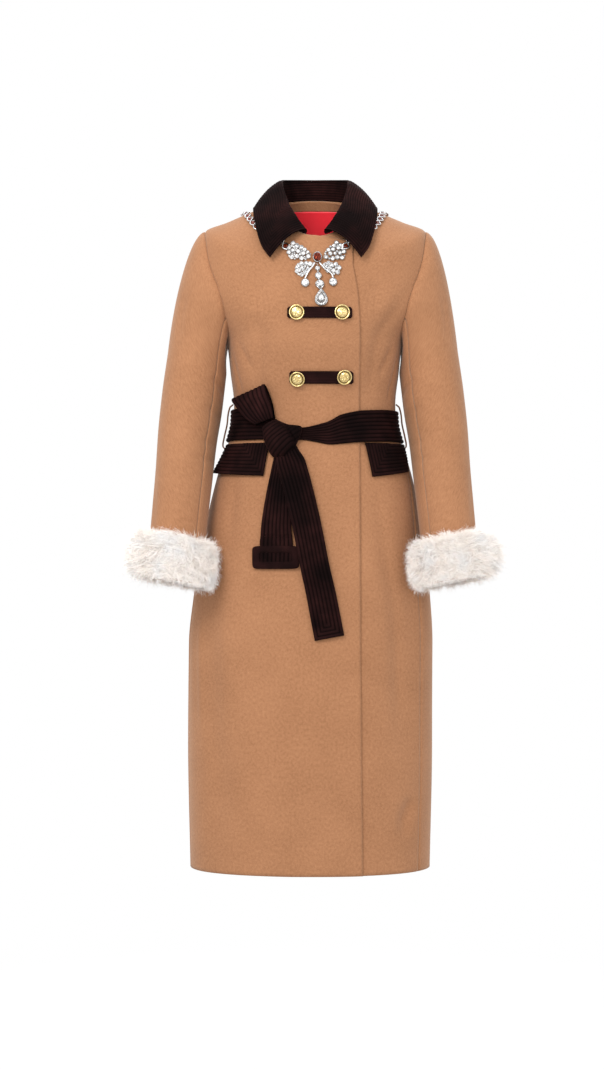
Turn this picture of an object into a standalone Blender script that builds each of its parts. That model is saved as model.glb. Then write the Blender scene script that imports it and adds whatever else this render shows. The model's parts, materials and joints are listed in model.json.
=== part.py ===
"""An overcoat in camel wool with ribbed velvet trim, fur cuffs and a jewelled bow.

The coat keeps the hollow form of a worn garment. Each piece that is cut and sewn is one solid.
+X is the wearer's left, -Y the front and +Z up. The origin lies at the base of the neck.
"""

import math

import bmesh
import bpy
from mathutils import Vector

MM = 0.001
COLLECTION_NAME = "overcoat"

# Cloth and clearances
WOOL = 2.2 * MM
VELVET = 2.4 * MM
FACING = 1.4 * MM
LINING = 1.0 * MM
HALF_SEAM = 0.15 * MM
SEAT_GAP = 0.3 * MM
FRONT_LAP = 3.3 * MM
BAND_CLEARANCE = 1.3 * MM
BACKING_GAP = 2.2 * MM

# Body rings: every ring is a superellipse whose height falls from its sides to its front and back
SQUARENESS = 2.3
RIDGE_ROUNDING = 1.4
SIDE = 90.0
UNDERARM = -240
SHOULDER_LEVEL = -44
NECK_LEVEL = 88
RING_COLUMNS = ("level", "centre_x", "half_width", "front", "back", "centre_y", "z_side", "z_front", "z_back")
RINGS = (
    (-1148, -5, 209, 142, 130, 15, -1148, -1148, -1148),
    (-930, -5, 213, 141, 128, 15, -930, -930, -930),
    (-760, -4, 213, 137, 126, 15, -760, -760, -760),
    (-680, -2, 207, 135, 125, 15, -680, -680, -680),
    (-580, 0, 193, 130, 121, 15, -580, -580, -580),
    (-520, 2, 182, 126, 115, 15, -520, -520, -520),
    (-469, 3, 170, 122, 107, 14, -469, -469, -469),
    (-427, 3, 157, 115, 97, 14, -427, -427, -427),
    (-406, 3, 149, 110, 92, 14, -406, -406, -406),
    (-375, 3, 142, 105, 87, 13, -375, -375, -375),
    (-345, 3, 141, 107, 88, 13, -345, -345, -345),
    (-290, 3, 147, 120, 96, 13, -290, -290, -290),
    (UNDERARM, 3, 153, 131, 104, 12, -240, -240, -240),
    (-170, 4, 192, 128, 110, 9, -165, -187, -178),
    (-105, 4, 203, 119, 109, 7, -100, -140, -125),
    (SHOULDER_LEVEL, 4, 192, 111, 105, 4, -44, -102, -72),
    (0, 4, 153, 106, 96, 4, -27, -87, -38),
    (44, 3, 110, 102, 85, 4, -9, -73, -6),
    (NECK_LEVEL, 4, 66, 99, 74, 4, 8, -63, 21),
)

# Soft troughs of the cloth: a line from one angle and level to another, its reach and its depth
FOLD_COLUMNS = ("angle_start", "level_start", "angle_end", "level_end", "reach", "depth")
FOLDS = (
    (-31, -195, -41, -330, 15, 4.0),
    (46, -150, 38, -330, 15, 4.0),
    (-62, -620, -56, -900, 26, 4.5),
    (52, -600, 45, -960, 24, 5.0),
    (-20, -560, -26, -820, 22, 2.5),
    (150, -420, 158, -900, 26, 5.0),
    (208, -430, 200, -820, 26, 4.5),
    (180, -150, 178, -330, 20, 3.0),
)

# Panels
SIDE_LEVELS = (-1148, -1060, -960, -860, -765, -680, -605, -545, -495, -455, -427, -402, -375, -345, -310, -275,
               UNDERARM)
ARMHOLE_STEPS = 8
SHOULDER_STEPS = 4
FRONT_NECK_STEPS = 6
BACK_NECK_STEPS = 8
SIDE_SEAM_COLUMNS = ("level", "wearer_right", "wearer_left")
SIDE_SEAMS = (
    (-1148, -82, 61),
    (-680, -82, 62),
    (-520, -83, 68),
    (-427, -85, 75),
    (-345, -87, 81),
    (UNDERARM, -90, 90),
)
ARMHOLE_COLUMNS = ("share", "front_angle", "back_angle", "level")
ARMHOLE = (
    (0.000, 90, 90, UNDERARM),
    (0.125, 71, 110, -229),
    (0.250, 59, 121, -201),
    (0.375, 54, 126, -171),
    (0.500, 55, 126, -142),
    (0.625, 59, 123, -114),
    (0.750, 65, 117, -87),
    (0.875, 74, 107, -61),
    (1.000, 90, 90, SHOULDER_LEVEL),
)
FRONT_EDGE_COLUMNS = ("level", "x")
FRONT_EDGE = (
    (-1148, 83),
    (-780, 80),
    (-500, 79),
    (-330, 78),
    (UNDERARM, 79),
    (-150, 76),
    (-70, 67),
)
UNDERLAP_X = -30
LINING_ROW = 14
EDGE_TOP = (67, -73)
UNDERLAP_TOP = (-28, -68)

MATERIALS = {
    "camel_wool": ((0.60, 0.34, 0.17), 0.85, 0.0),
    "brown_velvet": ((0.035, 0.012, 0.010), 0.70, 0.0),
    "red_lining": ((0.70, 0.02, 0.04), 0.55, 0.0),
    "cream_fur": ((0.86, 0.80, 0.75), 0.90, 0.0),
    "gold": ((0.90, 0.68, 0.28), 0.30, 1.0),
    "silver": ((0.80, 0.80, 0.80), 0.25, 1.0),
    "clear_stone": ((0.92, 0.92, 0.92), 0.10, 0.0),
    "amber_stone": ((0.40, 0.06, 0.02), 0.12, 0.0),
}


def smooth_column(table, columns, name, key=0):
    """Return a function that reads one column of a table along a smooth monotone cubic."""
    rows = sorted(table)
    index = columns.index(name)
    xs = [row[key] for row in rows]
    ys = [row[index] for row in rows]
    slopes = [(ys[i + 1] - ys[i]) / (xs[i + 1] - xs[i]) for i in range(len(xs) - 1)]
    tangents = [slopes[0]]
    for before, after in zip(slopes, slopes[1:]):
        tangents.append(0.0 if before * after <= 0 else 2 * before * after / (before + after))
    tangents.append(slopes[-1])

    def value(x):
        x = min(max(x, xs[0]), xs[-1])
        i = 0
        while i < len(xs) - 2 and x > xs[i + 1]:
            i += 1
        span = xs[i + 1] - xs[i]
        t = (x - xs[i]) / span
        start = (1 + 2 * t) * (1 - t) ** 2 * ys[i] + t * (1 - t) ** 2 * span * tangents[i]
        end = t * t * (3 - 2 * t) * ys[i + 1] + t * t * (t - 1) * span * tangents[i + 1]
        return start + end

    return value


RING = {name: smooth_column(RINGS, RING_COLUMNS, name) for name in RING_COLUMNS[1:]}
SEAM_RIGHT = smooth_column(SIDE_SEAMS, SIDE_SEAM_COLUMNS, "wearer_right")
SEAM_LEFT = smooth_column(SIDE_SEAMS, SIDE_SEAM_COLUMNS, "wearer_left")
EDGE_X = smooth_column(FRONT_EDGE, FRONT_EDGE_COLUMNS, "x")


def smoothstep(low, high, value):
    """Return 0 below low, 1 above high and a smooth step between."""
    t = min(max((value - low) / (high - low), 0.0), 1.0)
    return t * t * (3 - 2 * t)


def power(value, exponent):
    """Return a signed power."""
    return math.copysign(abs(value) ** exponent, value)


def fold_depth(angle, level):
    """Return how far the cloth sinks at an angle and level, in millimetres."""
    sunk = 0.0
    for a0, l0, a1, l1, reach, depth in FOLDS:
        scale = 2.2
        along = Vector(((a1 - a0) * scale, l1 - l0))
        offset = Vector((((angle - a0 + 180) % 360 - 180) * scale, level - l0))
        t = offset.dot(along) / along.length_squared
        across = (offset - along * t).length
        ends = smoothstep(-0.15, 0.25, t) * smoothstep(1.15, 0.75, t)
        sunk += depth * ends * math.exp(-(across / reach) ** 2)
    return sunk


def bare_surface(angle, level):
    """Return the point of the body surface without its folds, in millimetres."""
    turn = math.radians(angle)
    sine, cosine = math.sin(turn), math.cos(turn)
    exponent = 2 / SQUARENESS
    x = RING["centre_x"](level) + RING["half_width"](level) * power(sine, exponent)
    reach = RING["front"](level) if cosine > 0 else RING["back"](level)
    y = RING["centre_y"](level) - reach * power(cosine, exponent)
    end = RING["z_front"](level) if cosine > 0 else RING["z_back"](level)
    side = RING["z_side"](level)
    z = side + (end - side) * abs(cosine) ** RIDGE_ROUNDING
    return Vector((x, y, z))


def surface_normal(angle, level):
    """Return the outward unit normal of the body surface."""
    step = 1.5
    around = bare_surface(angle + step, level) - bare_surface(angle - step, level)
    low, high = max(level - 3, RINGS[0][0]), min(level + 3, NECK_LEVEL)
    up = bare_surface(angle, high) - bare_surface(angle, low)
    return around.cross(up).normalized()


def surface(angle, level, lift=0.0):
    """Return a point of the coat's outer surface, moved out by lift, in metres."""
    normal = surface_normal(angle, level)
    return (bare_surface(angle, level) - normal * fold_depth(angle, level)) * MM + normal * lift


def angle_at(x, level):
    """Return the front angle where the ring at a level has this x, in millimetres."""
    share = (x - RING["centre_x"](level)) / RING["half_width"](level)
    share = min(max(share, -1.0), 1.0)
    return math.degrees(math.asin(power(share, SQUARENESS / 2)))


def front_place(x, z):
    """Return the angle and level of the front surface at x and z, in millimetres."""
    low, high = RINGS[0][0], NECK_LEVEL
    while high - low > 0.01:
        middle = (low + high) / 2
        if bare_surface(angle_at(x, middle), middle).z < z:
            low = middle
        else:
            high = middle
    return angle_at(x, low), low


def lap_lift(angle, level):
    """Return how far the overlapping front stands off the surface, in metres."""
    x = bare_surface(angle, level).x
    return FRONT_LAP * smoothstep(-98, -36, x)


def material(name):
    """Return the Principled material of this name."""
    if name in bpy.data.materials:
        return bpy.data.materials[name]
    colour, roughness, metallic = MATERIALS[name]
    made = bpy.data.materials.new(name)
    made.use_nodes = True
    shader = made.node_tree.nodes["Principled BSDF"]
    shader.inputs["Base Color"].default_value = (*colour, 1.0)
    shader.inputs["Roughness"].default_value = roughness
    shader.inputs["Metallic"].default_value = metallic
    made.diffuse_color = (*colour, 1.0)
    return made


def add_object(name, bm, finish):
    """Turn a bmesh of one closed body into a named object of the coat."""
    bmesh.ops.recalc_face_normals(bm, faces=bm.faces)
    mesh = bpy.data.meshes.new(name)
    bm.to_mesh(mesh)
    bm.free()
    mesh.shade_smooth()
    mesh.set_sharp_from_angle(angle=math.radians(50))
    mesh.materials.append(material(finish))
    made = bpy.data.objects.new(name, mesh)
    bpy.data.collections[COLLECTION_NAME].objects.link(made)
    return made


def lattice_faces(bm, rows, ring):
    """Add the quads between neighbouring rows of vertices."""
    pairs = list(zip(rows, rows[1:]))
    if ring:
        pairs.append((rows[-1], rows[0]))
    for low, high in pairs:
        for j in range(len(low) - 1):
            bm.faces.new((low[j], low[j + 1], high[j + 1], high[j]))


def zip_edges(bm, first, second):
    """Close the strip between two runs of vertices that may differ in number."""
    i = j = 0
    while i < len(first) - 1 or j < len(second) - 1:
        ahead_first = (i + 1) / max(len(first) - 1, 1)
        ahead_second = (j + 1) / max(len(second) - 1, 1)
        if j == len(second) - 1 or (i < len(first) - 1 and ahead_first <= ahead_second):
            bm.faces.new((first[i], first[i + 1], second[j]))
            i += 1
        else:
            bm.faces.new((first[i], second[j + 1], second[j]))
            j += 1


def wall(name, outer, inner, finish, ring=False):
    """Build a closed wall between an outer and an inner grid of points.

    Both grids have the same number of rows. Their rows may differ in length, as where ribs are
    raised on the outer side only. With ring, the last row joins the first.
    """
    bm = bmesh.new()
    outside = [[bm.verts.new(point) for point in row] for row in outer]
    inside = [[bm.verts.new(point) for point in row] for row in inner]
    lattice_faces(bm, outside, ring)
    lattice_faces(bm, inside, ring)
    lattice_faces(bm, [[a[0], b[0]] for a, b in zip(outside, inside)], ring)
    lattice_faces(bm, [[a[-1], b[-1]] for a, b in zip(outside, inside)], ring)
    if not ring:
        zip_edges(bm, outside[0], inside[0])
        zip_edges(bm, outside[-1], inside[-1])
    return add_object(name, bm, finish)


def closed_ring(name, sections, finish):
    """Build a ring from closed sections, each a loop of points."""
    bm = bmesh.new()
    loops = [[bm.verts.new(point) for point in section] for section in sections]
    for low, high in zip(loops, loops[1:] + loops[:1]):
        for j in range(len(low)):
            k = (j + 1) % len(low)
            bm.faces.new((low[j], low[k], high[k], high[j]))
    return add_object(name, bm, finish)


def trim_edges(outer, inner, gap, edges):
    """Draw the named edges of a wall's grids back from their seams by a gap."""
    moves = []
    last, end = len(outer) - 1, len(outer[0]) - 1
    for i in range(last + 1):
        if "first_column" in edges:
            moves.append((i, 0, i, 1))
        if "last_column" in edges:
            moves.append((i, end, i, end - 1))
    for j in range(end + 1):
        if "first_row" in edges:
            moves.append((0, j, 1, j))
        if "last_row" in edges:
            moves.append((last, j, last - 1, j))
    steps = [(i, j, (outer[k][m] - outer[i][j]).normalized() * gap) for i, j, k, m in moves]
    for i, j, step in steps:
        outer[i][j] = outer[i][j] + step
        inner[i][j] = inner[i][j] + step


def share_line(start, end, count):
    """Return count + 1 evenly shared values from start to end."""
    return [start + (end - start) * i / count for i in range(count + 1)]


def armhole_places(sign, face):
    """Return the angles and levels of one armhole edge, from underarm to shoulder."""
    level = smooth_column(ARMHOLE, ARMHOLE_COLUMNS, "level")
    angle = smooth_column(ARMHOLE, ARMHOLE_COLUMNS, face + "_angle")
    shares = share_line(0.0, 1.0, ARMHOLE_STEPS)
    return [(sign * angle(t), level(t)) for t in shares]


def coons(bottom, top, left, right):
    """Fill a four-sided patch of (angle, level) places between its edges."""
    rows, columns = len(left) - 1, len(bottom) - 1
    patch = []
    for i in range(rows + 1):
        v = i / rows
        line = []
        for j in range(columns + 1):
            u = j / columns
            place = []
            for k in range(2):
                edges = (1 - v) * bottom[j][k] + v * top[j][k] + (1 - u) * left[i][k] + u * right[i][k]
                low = (1 - u) * bottom[0][k] + u * bottom[-1][k]
                high = (1 - u) * top[0][k] + u * top[-1][k]
                place.append(edges - (1 - v) * low - v * high)
            line.append(tuple(place))
        patch.append(line)
    return patch


def panel_places(start_angle, end_angle, columns, left, right, top):
    """Return a panel's rows of (angle, level) places from the hem to its top edge."""
    rows = []
    for level in SIDE_LEVELS:
        rows.append([(angle, level) for angle in share_line(start_angle(level), end_angle(level), columns)])
    return rows + coons(rows[-1], top, left, right)[1:]


def panel_grids(places, thickness, lift=lambda angle, level: 0.0, edges=()):
    """Return the outer and inner grids of a wall of cloth over its places on the body surface."""
    outer = [[surface(a, s, lift(a, s)) for a, s in row] for row in places]
    inner = [[surface(a, s, lift(a, s) - thickness) for a, s in row] for row in places]
    trim_edges(outer, inner, HALF_SEAM, edges)
    return outer, inner


def panel(name, places, thickness, finish, lift=lambda angle, level: 0.0, edges=()):
    """Build one wall of cloth over its places on the body surface."""
    return wall(name, *panel_grids(places, thickness, lift, edges), finish)


def shoulder_line(sign):
    """Return the places of a shoulder seam from the armhole to the neck."""
    return [(sign * SIDE, level) for level in share_line(SHOULDER_LEVEL, NECK_LEVEL, SHOULDER_STEPS)]


def front_panels():
    """Build the two fronts, the wearer's right one lapping over the left one."""
    drop_steps = 3
    top_edge = [front_place(2 + (EDGE_TOP[0] - 2) * t, -61 + (EDGE_TOP[1] + 61) * t)
                for t in share_line(0, 1, drop_steps)[1:]]
    neck = [(angle, NECK_LEVEL) for angle in share_line(-SIDE, 0, FRONT_NECK_STEPS)[1:]]
    top = shoulder_line(-1) + neck + top_edge
    left = armhole_places(-1, "front")
    corner = top[-1]
    levels = share_line(UNDERARM, corner[1], ARMHOLE_STEPS)
    right = [(angle_at(EDGE_X(level), level), level) for level in levels[:-1]] + [corner]
    places = panel_places(SEAM_RIGHT, lambda s: angle_at(EDGE_X(s), s), len(top) - 1, left, right, top)
    panel("front_right", places, WOOL, "camel_wool", lap_lift, ("first_column", "last_row"))

    corner = front_place(*UNDERLAP_TOP)
    neck = [(angle, NECK_LEVEL) for angle in share_line(SIDE, 0, FRONT_NECK_STEPS)[1:]]
    top = shoulder_line(1) + neck + [corner]
    left = armhole_places(1, "front")
    levels = share_line(UNDERARM, corner[1], ARMHOLE_STEPS)
    right = [(angle_at(UNDERLAP_X, level), level) for level in levels[:-1]] + [corner]
    places = panel_places(SEAM_LEFT, lambda s: angle_at(UNDERLAP_X, s), len(top) - 1, left, right, top)
    panel("front_left", places, WOOL, "camel_wool", edges=("first_column", "last_row"))


def back_panel():
    """Build the back in one piece, with the neck facing and lining that show inside it."""
    neck = [(angle, NECK_LEVEL) for angle in share_line(SIDE, 360 - SIDE, BACK_NECK_STEPS)[1:-1]]
    far_shoulder = [(360 + a, s) for a, s in reversed(shoulder_line(-1))]
    top = shoulder_line(1) + neck + far_shoulder
    left = armhole_places(1, "back")
    right = [(360 + a, s) for a, s in armhole_places(-1, "back")]
    places = panel_places(SEAM_LEFT, lambda s: 360 + SEAM_RIGHT(s), len(top) - 1, left, right, top)
    outer, inner = panel_grids(places, WOOL, edges=("first_column", "last_column", "last_row"))
    wall("back", outer, inner, "camel_wool")

    first, last = SHOULDER_STEPS, SHOULDER_STEPS + BACK_NECK_STEPS
    facing_share = 0.45
    below = len(places) - 2
    rows = [(below, 1 - facing_share), (below, 0.995)]
    backing("back_neck_facing", outer, inner, rows, first, last, FACING, "camel_wool")
    rows = [(row, 0.0) for row in range(LINING_ROW, below + 1)] + [(below, 0.99 - facing_share)]
    backing("back_lining", outer, inner, rows, first, last, LINING, "red_lining")


def backing(name, outer, inner, rows, first, last, thickness, finish):
    """Build a thin layer inside a panel from the panel's own points, rows as (row, share above it)."""
    front_face, rear_face = [], []
    for row, share in rows:
        faces = ([], [])
        for j in range(first, last + 1):
            near, far = inner[row][j], outer[row][j]
            if share:
                near = near.lerp(inner[row + 1][j], share)
                far = far.lerp(outer[row + 1][j], share)
            inward = (near - far).normalized()
            faces[0].append(near + inward * BACKING_GAP)
            faces[1].append(near + inward * (BACKING_GAP + thickness))
        front_face.append(faces[0])
        rear_face.append(faces[1])
    wall(name, front_face, rear_face, finish)


# Sleeves: rings from the armhole down, symmetric about the coat's middle
ROUND_STEPS = 2 * ARMHOLE_STEPS
CAP_STEPS = 4
SLEEVE_COLUMNS = ("z", "outer_x", "inner_x", "centre_y", "half_depth", "tilt", "lean")
SLEEVE = (
    (-272, 252, 150.5, 2, 63, 20, 0),
    (-343, 262, 158, -8, 60, 16, 4),
    (-406, 268, 167, -22, 57, 12, 6),
    (-469, 271, 173.5, -40, 54, 11, 7),
    (-532, 275, 180, -62, 51, 11, 8),
    (-580, 278, 184, -78, 49, 11, 8),
    (-642, 281, 187, -98, 48, 11, 8),
    (-660, 282, 188, -104, 47.7, 11, 8),
)
SLEEVE_AT = {name: smooth_column(SLEEVE, SLEEVE_COLUMNS, name) for name in SLEEVE_COLUMNS[1:]}
SLEEVE_LEVELS = (-272, -306, -343, -380, -420, -462, -505, -550, -596, -642)
TOP_SLEEVE = (-6, 6)
UNDER_SLEEVE = (6, 10)

# Fur cuffs: rings that stand round the sleeve ends
CUFF_STEPS = 24
CUFF_CENTRE = Vector((241, -90, -614))
CUFF_HALF_WIDTH = 80
CUFF_HALF_DEPTH = 66
CUFF_HALF_HEIGHT = 43
CUFF_BORE_CLEARANCE = 1.3
CUFF_BODY_CLEARANCE = 2.5

# Collar: points along the neck seam's angle, wearer's right front end to the middle of the back
COLLAR_COLUMNS = ("share", "fold_x", "fold_y", "fold_z", "edge_x", "edge_y", "edge_z", "rise_x", "rise_y", "rise_z")
COLLAR = (
    (0.00, -16, -97, -53, -77, -115, -103, -46, -115, -68),
    (0.08, -23, -92, -43, -84, -112, -94, -54, -111, -61),
    (0.16, -31, -88, -32, -91, -106, -83, -62, -104, -52),
    (0.26, -40, -75, -17, -97, -94, -66, -71, -89, -37),
    (0.37, -47, -60, -3, -102, -76, -46, -78, -71, -20),
    (0.50, -53, -40, 14, -106, -50, -24, -83, -46, -1),
    (0.62, -59, -8, 38, -107, -20, -8, -86, -14, 19),
    (0.74, -59, 25, 49, -101, 20, 1, -84, 23, 30),
    (0.86, -42, 60, 55, -70, 74, 4, -60, 72, 34),
    (1.00, 0, 75, 57, 0, 100, 3, 0, 94, 34),
)
COLLAR_MIDDLE_X = 4
COLLAR_STEPS = 12
COLLAR_RIBS = 7
COLLAR_RIB_HEIGHT = 0.6 * MM
COLLAR_THICKNESS = 3.0 * MM

# Belt, its knot, loop and tails
BELT_COLUMNS = ("angle", "z", "half_width")
BELT = (
    (-180, -386, 28),
    (-60, -382, 28),
    (-36, -383, 27),
    (-22, -394, 17),
    (-6, -401, 11),
    (5, -400, 19),
    (16, -392, 26),
    (32, -387, 28),
    (60, -385, 28),
    (180, -386, 28),
)
BELT_STEPS = 40
BELT_CHANNELS = 8
RIB_HEIGHT = 1.0 * MM
STRAP_COLUMNS = ("x", "z", "half_width", "lift")
TAIL_FRONT = (
    (-40, -437, 22, 6.4),
    (-36, -455, 24, 5.8),
    (-26, -490, 24, 5.4),
    (-13, -545, 24, 6.4),
    (-6, -580, 24, 7.8),
    (3, -628, 24, 7.6),
    (12, -668, 24.5, 3.0),
    (23, -725, 25, 1.2),
    (27, -746, 25, 1.2),
)
TAIL_BACK = (
    (-50, -440, 15, 2.2),
    (-52, -458, 17, 1.4),
    (-57, -500, 21, 1.2),
    (-60, -535, 24, 1.2),
    (-62, -565, 26, 1.2),
    (-62, -588.5, 26.5, 1.4),
)
LOOP_ROOT = (-66, -402)
LOOP_END = (-106, -319)
LOOP_COLUMNS = ("along", "lift", "half_width")
LOOP = (
    (25, 17, 16),
    (35, 18.5, 20),
    (46, 19, 23),
    (68, 18, 26),
    (80, 15.5, 28),
    (84, 12, 28),
    (80, 9, 28),
    (60, 8.4, 26),
    (42, 8.2, 22),
    (25, 8.6, 17),
)
KNOT_OUTLINE = ((-81, -388), (-63, -376), (-44, -387), (-18, -391), (-24, -411), (-38, -428), (-53, -432),
                (-70, -433), (-80, -412))
KNOT_PROFILE = ((0.86, 7.0), (1.0, 12.5), (0.94, 20.0), (0.66, 26.0), (0.3, 28.0))
BUCKLE_CENTRE = (-63, -610)
BUCKLE_HALF_SIZE = (39.5, 19.5)
BUCKLE_HALF_SLOT = (27, 7.5)
BUCKLE_HEIGHT = 5.5
CARRIER_COLUMNS = ("level", "lift")
CARRIER = ((-343, 0.3), (-349, 6.4), (-366, 9.5), (-390, 10.0), (-412, 8.6), (-420, 5.8), (-423, 0.4))
CARRIER_ANGLE = 93
CARRIER_HALF_WIDTH = 1.7

# Pocket flaps: angles of the inner and outer ends at the top and at the foot
FLAP_COLUMNS = ("name", "inner_top", "inner_foot", "outer_top", "outer_foot", "foot_lift")
FLAPS = (
    ("pocket_flap_right", -26.5, -27, -75, -82, 6),
    ("pocket_flap_left", 30, 31, 80, 66, 3),
)
FLAP_TOP = -416
FLAP_FOOT = -470
FLAP_CHANNELS = 8
FLAP_STEPS = 7

# Front tabs and their buttons
TAB_COLUMNS = ("name", "centre_x", "centre_z", "half_width", "half_height")
TABS = (("tab_upper", 10.7, -196.4, 54, 9.5), ("tab_lower", 13.6, -303.5, 53, 10.5))
TAB_PROFILE = ((1.0, 1.9), (1.0, 3.4), (0.95, 4.2))
BUTTON_COLUMNS = ("name", "x", "z")
BUTTONS = (
    ("button_upper_right", -27.5, -196.4),
    ("button_upper_left", 47.8, -196.0),
    ("button_lower_right", -26.3, -306.0),
    ("button_lower_left", 51.2, -302.5),
)
BUTTON_RADIUS = 13
BUTTON_PROFILE = ((0.80, 4.6), (1.0, 5.6), (0.94, 7.0), (0.72, 6.2), (0.52, 7.4), (0.22, 9.0))

# Jewelled bow: outlines of the lobes and places of the stones, in x and z
LOBES = {
    "bow_lobe_upper_right": ((-3, -98), (-10, -91), (-22, -81), (-33, -75), (-42, -82), (-45, -92), (-41, -105),
                             (-25, -108), (-8, -107)),
    "bow_lobe_upper_left": ((17, -98), (23, -90), (31, -80), (40, -74), (49, -82), (56, -96), (51, -106),
                            (35, -108), (20, -107)),
    "bow_lobe_lower_right": ((2, -112), (-10, -110.5), (-24, -111), (-31, -119), (-29, -130), (-20, -136),
                             (-8, -128)),
    "bow_lobe_lower_left": ((14, -112), (24, -110.5), (38, -111), (46, -118), (46, -128), (37, -134), (22, -127)),
}
LOBE_PROFILE = ((0.94, 0.9), (1.0, 2.6), (0.82, 5.0), (0.4, 5.8))
STONE_COLUMNS = ("name", "finish", "x", "z", "half_width", "half_height", "height")
STONES = (
    ("bow_centre", "amber_stone", 7.0, -103.5, 8.0, 9.5, 9.0),
    ("bow_drop_upper", "clear_stone", 7.4, -121.5, 4.6, 5.0, 6.0),
    ("bow_drop_middle", "clear_stone", 8.7, -134.0, 6.0, 6.2, 6.5),
    ("bow_drop_lower", "clear_stone", 10.9, -147.8, 7.4, 6.6, 7.0),
    ("bow_pear", "clear_stone", 13.4, -170.5, 11.5, 14.5, 7.0),
    ("bow_side_drop_right", "clear_stone", -13.4, -146.5, 7.0, 7.4, 6.5),
    ("bow_side_drop_left", "clear_stone", 33.2, -145.0, 7.0, 7.4, 6.5),
)
STRANDS = {
    "bow_strand_right": ((-9, -133), (-14, -138.5)),
    "bow_strand_left": ((27, -131.5), (33, -137)),
}

# Chain: its route over the shoulders, where it passes below the collar
CHAIN_RADIUS = 2.3
CHAIN_LIFT = 2.9
CHAIN_FRONT = ((-53, -80), (-62, -66), (-82, -55), (-99, -47), (-108, -35))
CHAIN_BACK_COLUMNS = ("angle", "level")
CHAIN_BACK = ((84, 36), (90, 32), (102, 30), (120, 30), (140, 30), (160, 30), (180, 30))
LINK_PITCH = 13


def set_curve(table, columns):
    """Return smooth functions of the first column for every other column of a table."""
    return {name: smooth_column(table, columns, name) for name in columns[1:]}


def sleeve_point(side, turn, z):
    """Return a point of the sleeve's outer surface, in millimetres.

    The turn is 0 on the outer side, 90 in front and 180 against the body.
    """
    phi = math.radians(turn)
    outer, inner = SLEEVE_AT["outer_x"](z), SLEEVE_AT["inner_x"](z)
    x = (outer + inner) / 2 + (outer - inner) / 2 * math.cos(phi)
    y = SLEEVE_AT["centre_y"](z) - SLEEVE_AT["half_depth"](z) * math.sin(phi)
    rise = SLEEVE_AT["tilt"](z) * math.cos(phi) + SLEEVE_AT["lean"](z) * math.sin(phi)
    return Vector((side * x, y, z + rise))


def armhole_loop(side):
    """Return the armhole's points, normals and outward directions, from the shoulder round the front."""
    front, back = armhole_places(side, "front"), armhole_places(side, "back")
    places = front[::-1] + back[1:-1]
    points = [surface(*place) for place in places]
    normals = [surface_normal(*place) for place in places]
    centre = sum(points, Vector()) / len(points)
    outwards = []
    for point, normal in zip(points, normals):
        towards = centre - point
        outwards.append((towards - normal * towards.dot(normal)).normalized())
    return points, normals, outwards


def sleeve_grids(side):
    """Return the outer and inner grids of a whole sleeve, its columns running round it."""
    points, normals, outwards = armhole_loop(side)
    rings = []
    for t in share_line(0, 1, CAP_STEPS)[:-1]:
        ring = []
        for k in range(ROUND_STEPS):
            turn = 360 * k / ROUND_STEPS
            cosine, sine = math.cos(math.radians(turn)), math.sin(math.radians(turn))
            share = (1 + cosine) / 2
            start = points[k] + outwards[k] * 2 * HALF_SEAM + normals[k] * SEAT_GAP
            end = sleeve_point(side, turn, SLEEVE_LEVELS[0]) * MM
            lead = Vector((side * (3 + 20 * share), -9 * sine, -13 + 11 * share)) * MM
            trail = Vector((-side * 11 * share, 0, 18 + 82 * share)) * MM
            first, second = start + lead, end + trail
            ring.append(start * (1 - t) ** 3 + first * 3 * t * (1 - t) ** 2
                        + second * 3 * t * t * (1 - t) + end * t ** 3)
        rings.append(ring)
    for z in SLEEVE_LEVELS:
        rings.append([sleeve_point(side, 360 * k / ROUND_STEPS, z) * MM for k in range(ROUND_STEPS)])
    inner = []
    for i, ring in enumerate(rings):
        low, high = rings[max(i - 1, 0)], rings[min(i + 1, len(rings) - 1)]
        middle = sum(ring, Vector()) / len(ring)
        line = []
        for k, point in enumerate(ring):
            around = ring[(k + 1) % ROUND_STEPS] - ring[k - 1]
            normal = around.cross(high[k] - low[k]).normalized()
            if normal.dot(point - middle) < 0:
                normal = -normal
            if i == 0:
                normal = (normals[k] + normal - outwards[k] * 0.7).normalized()
            line.append(point - normal * WOOL)
        inner.append(line)
    return rings, inner


def sleeves():
    """Build the two-piece sleeves and the fur cuffs round their ends."""
    for side, word in ((-1, "right"), (1, "left")):
        outer, inner = sleeve_grids(side)
        for name, (start, stop) in (("sleeve_top", TOP_SLEEVE), ("sleeve_under", UNDER_SLEEVE)):
            columns = [k % ROUND_STEPS for k in range(start, stop + 1)]
            outside = [[row[k] for k in columns] for row in outer]
            inside = [[row[k] for k in columns] for row in inner]
            trim_edges(outside, inside, HALF_SEAM, ("first_column", "last_column"))
            wall(f"{name}_{word}", outside, inside, "camel_wool")
        fur_cuff(side, word)


def clear_of_skirt(point, side):
    """Return a point moved sideways until it stands clear of the skirt."""
    centre, front = RING["centre_y"](point.z), RING["front"](point.z)
    share = abs(point.y - centre) / (front if point.y < centre else RING["back"](point.z))
    if share < 1:
        reach = RING["half_width"](point.z) * (1 - share ** SQUARENESS) ** (1 / SQUARENESS)
        least = reach + side * RING["centre_x"](point.z) + CUFF_BODY_CLEARANCE
        point.x = side * max(side * point.x, least)
    return point


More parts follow.
